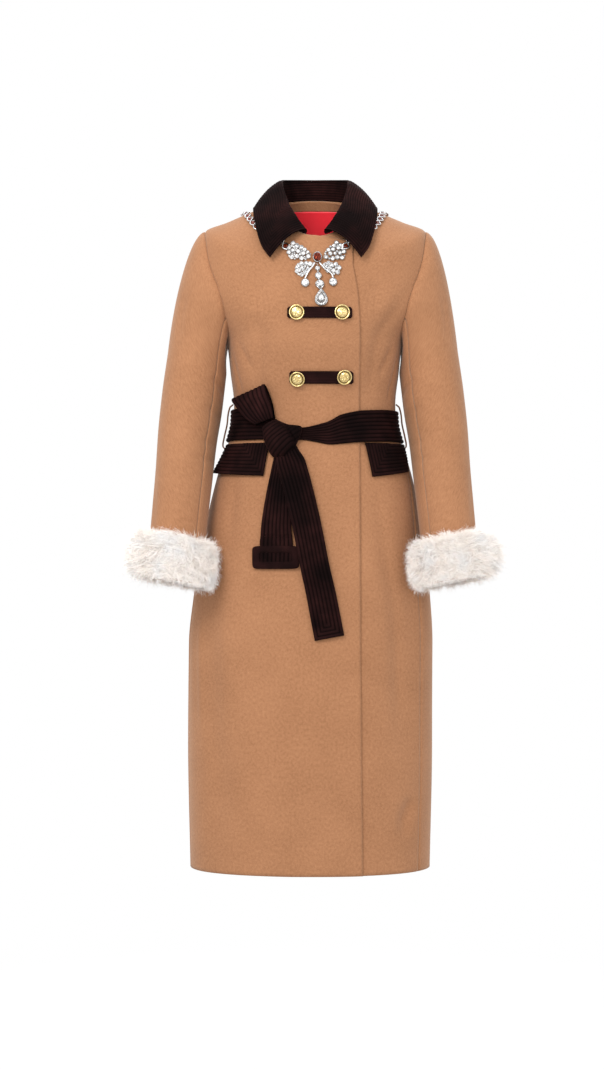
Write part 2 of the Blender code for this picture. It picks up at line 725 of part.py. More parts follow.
def fur_cuff(side, word):
    """Build a fur ring round a sleeve end, fuller on the outer side than against the skirt."""
    middle_z = CUFF_CENTRE.z
    centre = Vector((side * CUFF_CENTRE.x, CUFF_CENTRE.y, middle_z))
    sections = []
    for k in range(CUFF_STEPS):
        turn = 360 * k / CUFF_STEPS
        phi = math.radians(turn)
        rim = Vector((side * CUFF_HALF_WIDTH * math.cos(phi), -CUFF_HALF_DEPTH * math.sin(phi), 0))
        base = sleeve_point(side, turn, middle_z)
        rim.z = base.z - middle_z
        away = Vector((rim.x, rim.y, 0)).normalized() * CUFF_BORE_CLEARANCE
        reach = centre + rim - base
        section = []
        for z in (middle_z - CUFF_HALF_HEIGHT, -596, middle_z + CUFF_HALF_HEIGHT):
            section.append((sleeve_point(side, turn, z) + away) * MM)
        for theta in (62, 36, 12, -12, -36, -62):
            height = power(math.sin(math.radians(theta)), 0.75) * CUFF_HALF_HEIGHT
            fullness = math.cos(math.radians(theta)) ** 0.6
            point = sleeve_point(side, turn, middle_z + height) + away + reach * fullness
            section.append(clear_of_skirt(point, side) * MM)
        sections.append(section)
    closed_ring(f"fur_cuff_{word}", sections, "cream_fur")


def neck_seam(angle, level=NECK_LEVEL):
    """Return a point and normal of the neckline on the chords of the panels' own points."""
    step = SIDE / FRONT_NECK_STEPS if abs(angle) < SIDE else SIDE * 2 / BACK_NECK_STEPS
    low = math.floor(angle / step) * step
    share = (angle - low) / step
    point = surface(low, level).lerp(surface(low + step, level), share)
    return point, surface_normal(low, level).lerp(surface_normal(low + step, level), share)


def collar_lines():
    """Return the collar's fold, rise and edge points and its seam angles, right front to left front."""
    at = set_curve(COLLAR, COLLAR_COLUMNS)
    half = [share for share in share_line(0, 1, COLLAR_STEPS)]
    lines = {}
    for line in ("fold", "rise", "edge"):
        points = [Vector([at[f"{line}_{axis}"](share) for axis in "xyz"]) for share in half]
        mirrored = [Vector((-p.x, p.y, p.z)) for p in reversed(points[:-1])]
        lines[line] = [(p + Vector((COLLAR_MIDDLE_X, 0, 0))) * MM for p in points + mirrored]
    angles = []
    for point in lines["fold"]:
        choices = [((neck_seam(a / 2)[0].xy - point.xy).length, a / 2) for a in range(-360, 361)]
        angles.append(min(choices)[1])
    return lines, angles


def collar():
    """Build the collar's stand and its turned-down leaf with raised rows along the edge."""
    lines, angles = collar_lines()
    fold, rise, edge = lines["fold"], lines["rise"], lines["edge"]
    outward = []
    for i in range(len(fold)):
        along = fold[min(i + 1, len(fold) - 1)] - fold[max(i - 1, 0)]
        outward.append(Vector((along.y, -along.x, 0)).normalized() * -1)
        middle = Vector((COLLAR_MIDDLE_X * MM, 0, 0))
        if outward[i].dot((fold[i] - middle).xy.to_3d()) < 0:
            outward[i] = -outward[i]
    top_drop = Vector((0, 0, COLLAR_THICKNESS + 2 * HALF_SEAM + 0.1 * MM))

    stand_outer, stand_inner = [], []
    for i, angle in enumerate(angles):
        seam, normal = neck_seam(angle)
        up = (seam - neck_seam(angle, NECK_LEVEL - 4)[0]).normalized()
        foot, top = seam + up * 3 * HALF_SEAM, fold[i] - top_drop
        foot_in, top_in = foot - normal * VELVET, top - outward[i] * VELVET
        waist, waist_in = (foot + top) / 2, (foot_in + top_in) / 2
        stand_outer.append([foot, waist, top])
        stand_inner.append([foot_in, waist_in, top_in])
    wall("collar_stand", stand_outer, stand_inner, "brown_velvet")

    steps = 2 * COLLAR_RIBS
    shares = share_line(0, 1, steps)[1:]
    curves = []
    for i in range(len(fold)):
        bend = rise[i] * 2 - (fold[i] + edge[i]) / 2
        curves.append([fold[i] * (1 - t) ** 2 + bend * 2 * t * (1 - t) + edge[i] * t * t for t in shares])
    leaf_outer, leaf_inner = [], []
    for i, curve in enumerate(curves):
        before, after = curves[max(i - 1, 0)], curves[min(i + 1, len(curves) - 1)]
        lip = fold[i] - outward[i] * 2.8 * MM
        outer = [lip - Vector((0, 0, 1.0 * MM)), fold[i].copy()]
        inner = [lip - Vector((0, 0, COLLAR_THICKNESS)), fold[i] - Vector((0, 0, COLLAR_THICKNESS))]
        for j, point in enumerate(curve):
            down = curve[min(j + 1, steps - 1)] - curve[max(j - 1, 0)]
            normal = (after[j] - before[j]).cross(down).normalized()
            if normal.dot(outward[i] + Vector((0, 0, 1))) < 0:
                normal = -normal
            ridge = COLLAR_RIB_HEIGHT if j % 2 == 0 and j < steps - 1 else 0.0
            outer.append(point + normal * ridge)
            if j % 3 == 1 or j == steps - 1:
                inner.append(point - normal * COLLAR_THICKNESS)
        leaf_outer.append(outer)
        leaf_inner.append(inner)
    wall("collar_leaf", leaf_outer, leaf_inner, "brown_velvet")


def ribbed_rows(half_width, channels, foot_lift, rib_height):
    """Return the (offset, lift) pairs across a strip whose channels stand up between stitched valleys."""
    count = 2 * channels
    offsets = share_line(-half_width, half_width, count)
    return [(offset, foot_lift + (rib_height if j % 2 else 0.0)) for j, offset in enumerate(offsets)]


def belt_lift(angle, level):
    """Return the lift of the belt's inner face, which steps over the front edge."""
    if math.cos(math.radians(angle)) <= 0:
        return BAND_CLEARANCE
    x = bare_surface(angle, level).x
    return BAND_CLEARANCE + FRONT_LAP * smoothstep(-112, -50, x) * smoothstep(140, 86, x)


def belt_band():
    """Build the belt as a closed band round the waist, gathered where the knot holds it."""
    at = set_curve(BELT, BELT_COLUMNS)
    outer, inner = [], []
    for angle in share_line(-180, 180, BELT_STEPS)[:-1]:
        z, half = at["z"](angle), at["half_width"](angle)
        rows = ribbed_rows(half, BELT_CHANNELS, VELVET, RIB_HEIGHT)
        outer.append([surface(angle, z + w, belt_lift(angle, z) + lift) for w, lift in rows])
        inner.append([surface(angle, z + w, belt_lift(angle, z)) for w in (-half, 0, half)])
    wall("belt_band", outer, inner, "brown_velvet", ring=True)


def on_front(x, z, lift):
    """Return a point over the lapping front at x and z, moved out by lift, all in millimetres."""
    angle, level = front_place(x, z)
    return surface(angle, level, lap_lift(angle, level) + lift * MM)


def strap(name, table, stations):
    """Build a hanging tail of the belt along a table of its places."""
    lengths = [0.0]
    for before, after in zip(table, table[1:]):
        lengths.append(lengths[-1] + math.hypot(after[0] - before[0], after[1] - before[1]))
    rows = [(length, *row) for length, row in zip(lengths, table)]
    at = set_curve(rows, ("along", *STRAP_COLUMNS))
    outer, inner = [], []
    for s in share_line(0, lengths[-1], stations):
        ahead, behind = min(s + 2, lengths[-1]), max(s - 2, 0)
        run = Vector((at["x"](ahead) - at["x"](behind), at["z"](ahead) - at["z"](behind))).normalized()
        across = Vector((-run.y, run.x))
        x, z, half, lift = at["x"](s), at["z"](s), at["half_width"](s), at["lift"](s)
        rows_across = ribbed_rows(half, BELT_CHANNELS, VELVET / MM, RIB_HEIGHT / MM)
        outer.append([on_front(x + across.x * w, z + across.y * w, lift + rise) for w, rise in rows_across])
        inner.append([on_front(x + across.x * w, z + across.y * w, lift) for w in (-half, 0, half)])
    wall(name, outer, inner, "brown_velvet")


def belt_loop():
    """Build the half bow: a strip that leaves the knot, turns over at its top and comes back."""
    root, end = Vector(LOOP_ROOT), Vector(LOOP_END)
    run = (end - root).normalized()
    across = Vector((-run.y, run.x))
    outer, inner = [], []
    for i, (along, lift, half) in enumerate(LOOP):
        before, after = LOOP[max(i - 1, 0)], LOOP[min(i + 1, len(LOOP) - 1)]
        heading = Vector((after[0] - before[0], after[1] - before[1])).normalized()
        normal = Vector((-heading.y, heading.x))
        thickness = VELVET / MM
        outer_row, inner_row = [], []
        for w, rise in ribbed_rows(half, BELT_CHANNELS, thickness / 2, RIB_HEIGHT / MM):
            place = root + run * (along + normal.x * rise) + across * w
            outer_row.append(on_front(place.x, place.y, lift + normal.y * rise))
        for w in (-half, 0, half):
            place = root + run * (along - normal.x * thickness / 2) + across * w
            inner_row.append(on_front(place.x, place.y, lift - normal.y * thickness / 2))
        outer.append(outer_row)
        inner.append(inner_row)
    wall("belt_loop", outer, inner, "brown_velvet")


def stacked(name, outline, profile, finish):
    """Build a pad over the front from an outline, scaled and lifted along its profile."""
    middle = sum((Vector(p) for p in outline), Vector((0, 0))) / len(outline)
    bm = bmesh.new()
    loops = []
    for scale, lift in profile:
        places = [middle + (Vector(p) - middle) * scale for p in outline]
        loops.append([bm.verts.new(on_front(p.x, p.y, lift)) for p in places])
    for low, high in zip(loops, loops[1:]):
        for j in range(len(low)):
            k = (j + 1) % len(low)
            bm.faces.new((low[j], low[k], high[k], high[j]))
    for loop, lift in ((loops[0], profile[0][1]), (loops[-1], profile[-1][1])):
        hub = bm.verts.new(on_front(middle.x, middle.y, lift))
        for j in range(len(loop)):
            bm.faces.new((loop[j], loop[(j + 1) % len(loop)], hub))
    return add_object(name, bm, finish)


def ellipse(x, z, half_width, half_height, count):
    """Return the points of an ellipse round (x, z)."""
    turns = [math.tau * i / count for i in range(count)]
    return [(x + half_width * math.cos(t), z + half_height * math.sin(t)) for t in turns]


def belt_buckle():
    """Build the covered buckle as a frame round its slot."""
    x, z = BUCKLE_CENTRE
    sections = []
    for i in range(28):
        turn = math.tau * i / 28
        corner = Vector((power(math.cos(turn), 0.35), power(math.sin(turn), 0.35)))
        rim = Vector((corner.x * BUCKLE_HALF_SIZE[0], corner.y * BUCKLE_HALF_SIZE[1]))
        slot = Vector((corner.x * BUCKLE_HALF_SLOT[0], corner.y * BUCKLE_HALF_SLOT[1]))
        crest = (rim + slot) / 2
        section = []
        for place, lift in ((rim, 1.1), (rim, 4.2), (crest, 1.2 + BUCKLE_HEIGHT), (slot, 4.2), (slot, 1.1)):
            section.append(on_front(x + place.x, z + place.y, lift))
        sections.append(section)
    closed_ring("belt_buckle", sections, "brown_velvet")


def belt_carriers():
    """Build the narrow carriers that hold the belt at the side seams."""
    thickness = 2.2 * MM
    for side, word in ((-1, "right"), (1, "left")):
        outer, inner = [], []
        for level, lift in CARRIER:
            angles = [side * (CARRIER_ANGLE + half) for half in (-CARRIER_HALF_WIDTH, CARRIER_HALF_WIDTH)]
            outer.append([surface(a, level, lift * MM + thickness) for a in angles])
            inner.append([surface(a, level, lift * MM) for a in angles])
        wall(f"belt_carrier_{word}", outer, inner, "camel_wool")


def belt():
    """Build the belt with its knot, half bow, tails, buckle and carriers."""
    belt_band()
    belt_loop()
    strap("belt_tail_front", TAIL_FRONT, 11)
    strap("belt_tail_back", TAIL_BACK, 6)
    stacked("belt_knot", KNOT_OUTLINE, KNOT_PROFILE, "brown_velvet")
    belt_buckle()
    belt_carriers()


def pocket_flaps():
    """Build the ribbed pocket flaps below the belt."""
    for name, inner_top, inner_foot, outer_top, outer_foot, foot_lift in FLAPS:
        outer, inner = [], []
        base = 1.1 * MM
        for share in share_line(0, 1, FLAP_STEPS):
            top = inner_top + (outer_top - inner_top) * share
            foot = inner_foot + (outer_foot - inner_foot) * share

            def place(down, rise):
                """Return a point of this station at a share of the flap's height."""
                angle, level = top + (foot - top) * down, FLAP_TOP + (FLAP_FOOT - FLAP_TOP) * down
                lap = lap_lift(angle, level) if angle < 0 else 0.0
                return surface(angle, level, lap + base + foot_lift * MM * down ** 2 * share + rise)

            count = 2 * FLAP_CHANNELS
            outer.append([place(j / count, VELVET + (RIB_HEIGHT if j % 2 else 0.0)) for j in range(count + 1)])
            inner.append([place(down, 0.0) for down in (0, 0.33, 0.67, 1)])
        wall(name, outer, inner, "brown_velvet")


def tabs_and_buttons():
    """Build the two velvet tabs across the front and a button on each end."""
    for name, x, z, half_width, half_height in TABS:
        edge = [(half_width * t, half_height) for t in (0.95, 0.6, 0.2, -0.2, -0.6, -0.95)]
        outline = [(half_width, half_height - 3), *edge, (-half_width, half_height - 3)]
        outline += [(-u, -v) for u, v in outline]
        stacked(name, [(x + u, z + v) for u, v in outline], TAB_PROFILE, "brown_velvet")
    for name, x, z in BUTTONS:
        stacked(name, ellipse(x, z, BUTTON_RADIUS, BUTTON_RADIUS, 14), BUTTON_PROFILE, "gold")


def jewelled_bow():
    """Build the bow's lobes, stones and strands on the chest."""
    for name, outline in LOBES.items():
        stacked(name, outline, LOBE_PROFILE, "silver")
    for name, finish, x, z, half_width, half_height, height in STONES:
        profile = ((0.9, 0.9), (1.0, 2.4), (0.8, height - 1.6), (0.45, height))
        stacked(name, ellipse(x, z, half_width, half_height, 10), profile, finish)
    for name, ((x0, z0), (x1, z1)) in STRANDS.items():
        outline = ((x0 - 2, z0), (x0 + 2, z0), (x1 + 2, z1), (x1 - 2, z1))
        stacked(name, outline, ((1.0, 0.9), (1.0, 3.2)), "silver")


def chain():
    """Build the chain in three stretches: from the bow over each shoulder, and round the back."""
    for side, word in ((-1, "right"), (1, "left")):
        places = []
        for x, z in CHAIN_FRONT:
            angle, level = front_place(COLLAR_MIDDLE_X - side * x, z)
            lap = lap_lift(angle, level) / MM
            if side > 0:
                lap *= smoothstep(-95, -75, x)
            places.append((side * angle, level, lap + CHAIN_LIFT))
        places.append((*CHAIN_BACK[0], CHAIN_LIFT))
        beaded_tube(f"chain_{word}", places, side)
    places = [(*place, CHAIN_LIFT) for place in CHAIN_BACK[1:]]
    places += [(360 - angle, level, CHAIN_LIFT) for angle, level in CHAIN_BACK[-2:0:-1]]
    beaded_tube("chain_back", places, 1)


def beaded_tube(name, places, side):
    """Build a round body along places on the surface, fuller at each link."""
    at = set_curve(places, ("angle", "level", "lift"))
    ends = (places[0][0], places[-1][0])
    route = [surface(side * a, at["level"](a), at["lift"](a) * MM) for a in share_line(*ends, 60)]
    length = sum((after - before).length for before, after in zip(route, route[1:])) / MM
    steps = 2 * max(round(length / LINK_PITCH), 1)
    line = []
    for s in share_line(0, 60, steps):
        before = min(int(s), 59)
        line.append(route[before].lerp(route[before + 1], s - before))
    bm = bmesh.new()
    loops = []
    for i, point in enumerate(line):
        along = (line[min(i + 1, steps)] - line[max(i - 1, 0)]).normalized()
        across = along.cross(Vector((0, 0.3, 1))).normalized()
        rise = across.cross(along)
        radius = (CHAIN_RADIUS if i % 2 else CHAIN_RADIUS * 0.7) * MM
        turns = [math.tau * k / 6 for k in range(6)]
        loops.append([bm.verts.new(point + across * radius * math.cos(t) + rise * radius * math.sin(t))
                      for t in turns])
    for low, high in zip(loops, loops[1:]):
        for k in range(6):
            m = (k + 1) % 6
            bm.faces.new((low[k], low[m], high[m], high[k]))
    bm.faces.new(loops[0])
    bm.faces.new(loops[-1])
    return add_object(name, bm, "silver")


def main():
    """Build the coat."""
    for old in list(bpy.data.objects):
        bpy.data.objects.remove(old, do_unlink=True)
    coat = bpy.data.collections.new(COLLECTION_NAME)
    bpy.context.scene.collection.children.link(coat)
    front_panels()
    back_panel()
    sleeves()
    collar()
    belt()
    pocket_flaps()
    tabs_and_buttons()
    jewelled_bow()
    chain()


main()
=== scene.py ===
"""Looks of a long belted overcoat in camel wool with velvet trim, fur cuffs and a jewelled bow.

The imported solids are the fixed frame. Each class rebuilds one part of the coat at the solids' own
places with a finer form, and dresses it. Sizes are in millimetres and angles in degrees unless a
name says otherwise, and meshes are in metres. +X is the wearer's left, -Y the front and +Z up.
"""

import json
import logging
import math
from collections.abc import Callable, Sequence
from dataclasses import dataclass, field
from enum import Enum

import bmesh
import bpy
import numpy as np
from bpy.types import Material, Mesh, Node, NodeSocket, Object
from mathutils import Matrix, Vector

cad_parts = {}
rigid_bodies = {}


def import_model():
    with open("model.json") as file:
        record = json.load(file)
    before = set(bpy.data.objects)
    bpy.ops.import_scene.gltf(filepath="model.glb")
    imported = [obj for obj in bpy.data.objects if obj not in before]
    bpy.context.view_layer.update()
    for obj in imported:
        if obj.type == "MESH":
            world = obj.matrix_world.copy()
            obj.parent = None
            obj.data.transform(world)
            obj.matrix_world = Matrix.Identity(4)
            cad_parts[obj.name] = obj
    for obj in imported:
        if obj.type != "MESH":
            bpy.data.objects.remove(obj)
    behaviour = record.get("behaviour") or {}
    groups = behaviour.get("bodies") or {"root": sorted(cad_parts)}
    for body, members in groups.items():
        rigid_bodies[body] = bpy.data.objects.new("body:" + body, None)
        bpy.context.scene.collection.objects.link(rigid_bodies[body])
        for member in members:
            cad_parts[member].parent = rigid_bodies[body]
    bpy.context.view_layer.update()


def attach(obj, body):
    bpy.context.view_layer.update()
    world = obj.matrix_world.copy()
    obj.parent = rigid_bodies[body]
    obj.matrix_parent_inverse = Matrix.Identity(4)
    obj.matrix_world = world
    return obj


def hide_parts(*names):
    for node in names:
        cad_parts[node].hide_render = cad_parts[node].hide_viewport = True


LOG = logging.getLogger("overcoat")

MM = 0.001
Array = np.ndarray
Pair = tuple[Array, Array]
Rows = tuple[tuple[float, ...], ...]
NamedRows = tuple[tuple[object, ...], ...]
Two = tuple[float, float]
Three = tuple[float, float, float]
Colour = Three
FORWARD = np.array((0.0, -1.0, 0.0))
BACKWARD = np.array((0.0, 1.0, 0.0))
UPWARD = np.array((0.0, 0.0, 1.0))

# Thicknesses of cloth and clearances
WOOL = 2.2
VELVET = 2.4
CARRIER = 1.8
TAB = 2.1
RIBBON = 1.1
FACING = 1.4
LINING = 1.0
CHANNEL_ROUNDING = 0.55
HALF_SEAM = 0.15
SEAT_GAP = 0.3
FRONT_LAP = 3.3
BAND_CLEARANCE = 1.3
BACKING_GAP = 2.2
JOIN_DISTANCE = 1e-6

# Body
SQUARENESS = 2.3
RIDGE_ROUNDING = 1.4
LAP_FADE = (-98, -36)
NORMAL_TURN = 1.5
NORMAL_RISE = 3
HALVINGS = 18
SIDE = 90.0
HEM = -1148
UNDERARM = -240
SHOULDER_LEVEL = -44
NECK_LEVEL = 88
RING_COLUMNS = ("level", "centre_x", "half_width", "front", "back", "centre_y", "z_side", "z_front", "z_back")
SKIRT_RINGS = (
    (HEM, -5, 209, 142, 130, 15), (-930, -5, 213, 141, 128, 15), (-760, -4, 213, 137, 126, 15),
    (-680, -2, 207, 135, 125, 15), (-580, 0, 193, 130, 121, 15), (-520, 2, 182, 126, 115, 15),
    (-469, 3, 170, 122, 107, 14), (-427, 3, 157, 115, 97, 14), (-406, 3, 149, 110, 92, 14),
    (-375, 3, 142, 105, 87, 13), (-345, 3, 141, 107, 88, 13), (-290, 3, 147, 120, 96, 13),
    (UNDERARM, 3, 153, 131, 104, 12),
)
RINGS = tuple((*row, row[0], row[0], row[0]) for row in SKIRT_RINGS) + (
    (-170, 4, 192, 128, 110, 9, -165, -187, -178),
    (-105, 4, 203, 119, 109, 7, -100, -140, -125),
    (SHOULDER_LEVEL, 4, 192, 111, 105, 4, -44, -102, -72),
    (0, 4, 153, 106, 96, 4, -27, -87, -38),
    (44, 3, 110, 102, 85, 4, -9, -73, -6),
    (NECK_LEVEL, 4, 66, 99, 74, 4, 8, -63, 21),
)

# Troughs of the body cloth: a line between two places, its reach and its depth
FOLD_SCALE = 2.2
FOLDS = (
    (-31, -195, -41, -330, 15, 4.0), (46, -150, 38, -330, 15, 4.0), (-62, -620, -56, -900, 26, 4.5),
    (52, -600, 45, -960, 24, 5.0), (-20, -560, -26, -820, 22, 2.5), (150, -420, 158, -900, 26, 5.0),
    (208, -430, 200, -820, 26, 4.5), (180, -150, 178, -330, 20, 3.0),
)

# Smaller creases of the cloth alone, where a depth below zero is a ridge
CREASE_STRENGTH = 1.5
CREASES = (
    (38, -600, 43, -880, 12, 3.0), (52, -1020, 46, -1085, 12, 3.2), (20, -820, 20, -940, 5, -1.0),
    (-64, -720, -60, -900, 8, -1.8), (-50, -700, -46, -1000, 14, 2.0), (-58, -246, -44, -292, 7, 1.8),
    (-70, -262, -60, -330, 6, 1.4), (60, -250, 47, -300, 7, 2.0), (72, -258, 62, -338, 6, 1.5),
    (26, -120, 30, -172, 12, 1.6), (-26, -118, -30, -176, 12, 1.4), (56, -1030, 44, -1060, 12, 2.2),
    (-40, -930, -48, -1100, 18, 2.0), (10, -700, 14, -980, 22, 1.6), (-6, -480, -12, -620, 14, 1.4),
    (34, -500, 36, -660, 12, 1.8), (-50, -480, -44, -590, 11, 1.8), (120, -250, 132, -330, 8, 1.8),
    (240, -250, 228, -330, 8, 1.8), (112, -460, 118, -640, 12, 2.0), (248, -460, 242, -640, 12, 2.0),
    (172, -430, 176, -700, 14, 1.6), (128, -120, 140, -200, 12, 1.8), (232, -120, 220, -200, 12, 1.8),
)

# Panels
ARMHOLE_STEPS = 8
SHOULDER_STEPS = 4
FRONT_NECK_STEPS = 6
BACK_NECK_STEPS = 8
SIDE_SEAMS = (
    (HEM, -82, 61), (-680, -82, 62), (-520, -83, 68), (-427, -85, 75), (-345, -87, 81), (UNDERARM, -90, 90),
)
ARMHOLE = (
    (0.000, 90, 90, UNDERARM), (0.125, 71, 110, -229), (0.250, 59, 121, -201), (0.375, 54, 126, -171),
    (0.500, 55, 126, -142), (0.625, 59, 123, -114), (0.750, 65, 117, -87), (0.875, 74, 107, -61),
    (1.000, 90, 90, SHOULDER_LEVEL),
)
FRONT_EDGE = (
    (HEM, 83), (-780, 80), (-500, 79), (-330, 78), (UNDERARM, 79), (-150, 76), (-70, 67),
)
UNDERLAP_X = -30
NECK_FRONT = (2, -61)
EDGE_TOP = (67, -73)
UNDERLAP_TOP = (-28, -68)
LINING_FOOT = -310

# Sleeves
CAP_REACH_Z = -272
SLEEVE_HEM_Z = -642
SLEEVE = (
    (CAP_REACH_Z, 252, 150.5, 2, 63, 20, 0),
    (-343, 262, 158, -8, 60, 16, 4),
    (-406, 268, 167, -22, 57, 12, 6),
    (-469, 271, 173.5, -40, 54, 11, 7),
    (-532, 275, 180, -62, 51, 11, 8),
    (-580, 278, 184, -78, 49, 11, 8),
    (SLEEVE_HEM_Z, 281, 187, -98, 48, 11, 8),
    (-660, 282, 188, -104, 47.7, 11, 8),
)

# Collar, from the wearer's right front end to the middle of the back
COLLAR = (
    (0.00, -16, -97, -53, -77, -115, -103, -46, -115, -68),
    (0.08, -23, -92, -43, -84, -112, -94, -54, -111, -61),
    (0.16, -31, -88, -32, -91, -106, -83, -62, -104, -52),
    (0.26, -40, -75, -17, -97, -94, -66, -71, -89, -37),
    (0.37, -47, -60, -3, -102, -76, -46, -78, -71, -20),
    (0.50, -53, -40, 14, -106, -50, -24, -83, -46, -1),
    (0.62, -59, -8, 38, -107, -20, -8, -86, -14, 19),
    (0.74, -59, 25, 49, -101, 20, 1, -84, 23, 30),
    (0.86, -42, 60, 55, -70, 74, 4, -60, 72, 34),
    (1.00, 0, 75, 57, 0, 100, 3, 0, 94, 34),
)
COLLAR_MIDDLE_X = 4


class Slot(Enum):
    """The record's material slots."""

    WOOL = "camel_wool"
    VELVET = "brown_velvet"
    LINING = "red_lining"
    FUR = "cream_fur"
    GOLD = "gold"
    SILVER = "silver"
    CLEAR = "clear_stone"
    AMBER = "amber_stone"


class Hand(Enum):
    """The wearer's sides, with the sign of their x."""

    RIGHT = -1
    LEFT = 1

    @property
    def word(self) -> str:
        """Return the side's name as the nodes spell it."""
        return self.name.lower()


def smoothstep(low: float, high: float, value: Array | float) -> Array:
    """Return 0 below low, 1 above high and a smooth step between, where high may be below low."""
    share = np.clip((value - low) / (high - low), 0.0, 1.0)
    return share * share * (3 - 2 * share)


def spread(first: Array | float, second: Array | float) -> Pair:
    """Return two sets of numbers brought to one shape."""
    return np.broadcast_arrays(np.asarray(first, float), np.asarray(second, float))


def signed_power(value: Array, exponent: float) -> Array:
    """Return a power that keeps its base's sign."""
    return np.sign(value) * np.abs(value) ** exponent


def unit(vectors: Array) -> Array:
    """Return vectors brought to length one."""
    return vectors / np.maximum(np.linalg.norm(vectors, axis=-1, keepdims=True), 1e-9)


def run_lengths(points: Array, axis: int) -> Array:
    """Return the length run along one axis of a grid of points.

    Args:
        points: Grid of points, its last axis holding x, y and z.
        axis: The grid axis to run along.

    Returns:
        Distances from the first line of that axis, with the grid's own shape.
    """
    steps = np.linalg.norm(np.diff(points, axis=axis), axis=-1)
    runs = np.cumsum(steps, axis=axis)
    pad = [(0, 0)] * runs.ndim
    pad[axis] = (1, 0)
    return np.pad(runs, pad)


def places_along(line: Array, run: Array, at: Array) -> Array:
    """Return the points of a line at lengths run along it."""
    return np.stack([np.interp(at, run, line[:, k]) for k in range(line.shape[1])], axis=-1)


def paired(first: Array, second: Array) -> Array:
    """Return two coordinates side by side on a last axis."""
    return np.stack(np.broadcast_arrays(first, second), axis=-1)


def ridge(distance: Array, pitch: float, height: float) -> Array:
    """Return the height of rounded channels of a pitch, between narrow stitched valleys."""
    return height * np.abs(np.sin(np.pi * distance / pitch)) ** CHANNEL_ROUNDING


def bell(distance: Array, width: float) -> Array:
    """Return 1 where the distance is nothing, falling softly to 0 beyond the width."""
    return np.exp(-((distance / width) ** 2))


def trough_depth(angle: Array, level: Array, lines: Sequence[Sequence[float]], scale: float) -> Array:
    """Return how deep a table of troughs sinks the cloth.

    Args:
        angle: Angles round the form.
        level: Levels up the form.
        lines: Rows of start angle and level, end angle and level, reach and depth.
        scale: Millimetres of cloth to a degree.

    Returns:
        Depths.
    """
    angle, level = spread(angle, level)
    sunk = np.zeros(angle.shape)
    for start_angle, start_level, end_angle, end_level, reach, depth in lines:
        run_x, run_z = (end_angle - start_angle) * scale, end_level - start_level
        off_x = ((angle - start_angle + 180) % 360 - 180) * scale
        off_z = level - start_level
        along = (off_x * run_x + off_z * run_z) / (run_x * run_x + run_z * run_z)
        across = np.hypot(off_x - run_x * along, off_z - run_z * along)
        ends = smoothstep(-0.15, 0.25, along) * smoothstep(1.15, 0.75, along)
        sunk += depth * ends * bell(across, reach)
    return sunk


class SmoothTable:
    """Smooth monotone curves through the columns of a small table, read by its first column."""

    def __init__(self, names: Sequence[str], rows: Sequence[Sequence[float]]) -> None:
        """Fit a curve to each column.

        Args:
            names: The columns' names, the key column's first.
            rows: The table's rows in any order.
        """
        ordered = np.array(sorted(rows), float)
        self.keys = ordered[:, 0]
        self.values = {name: ordered[:, i] for i, name in enumerate(names)}
        self.tangents: dict[str, Array] = {}
        for name, values in self.values.items():
            slopes = np.diff(values) / np.diff(self.keys)
            product = slopes[:-1] * slopes[1:]
            total = np.where(product > 0, slopes[:-1] + slopes[1:], 1.0)
            inner = np.where(product > 0, 2 * product / total, 0.0)
            self.tangents[name] = np.concatenate((slopes[:1], inner, slopes[-1:]))

    def read(self, name: str, at: Array | float) -> Array:
        """Return one column's value along its curve.

        Args:
            name: The column's name.
            at: Keys to read it at, held within the table.

        Returns:
            The curve's values.
        """
        x = np.clip(np.asarray(at, float), self.keys[0], self.keys[-1])
        i = np.clip(np.searchsorted(self.keys, x) - 1, 0, len(self.keys) - 2)
        span = self.keys[i + 1] - self.keys[i]
        t = (x - self.keys[i]) / span
        values, tangents = self.values[name], self.tangents[name]
        start = (1 + 2 * t) * (1 - t) ** 2 * values[i] + t * (1 - t) ** 2 * span * tangents[i]
        end = t * t * (3 - 2 * t) * values[i + 1] + t * t * (t - 1) * span * tangents[i + 1]
        return start + end

    def point(self, prefix: str, at: Array | float) -> Array:
        """Return the points whose x, y and z columns share a prefix."""
        return np.stack([self.read(f"{prefix}_{axis}", at) for axis in "xyz"], axis=-1)

    def beside(self, names: Sequence[str], at: Array, reach: float, offset: Array | float) -> Pair:
        """Return the two coordinates of a plane curve, moved off it.

        Args:
            names: The columns of the two coordinates.
            at: Keys to read them at.
            reach: How far before and after each key the curve's way is taken.
            offset: How far the curve is moved to the left of its way.

        Returns:
            The moved coordinates.
        """
        way = [self.read(name, at + reach) - self.read(name, at - reach) for name in names]
        length = np.hypot(*way)
        return (self.read(names[0], at) - way[1] / length * offset, self.read(names[1], at) + way[0] / length * offset)


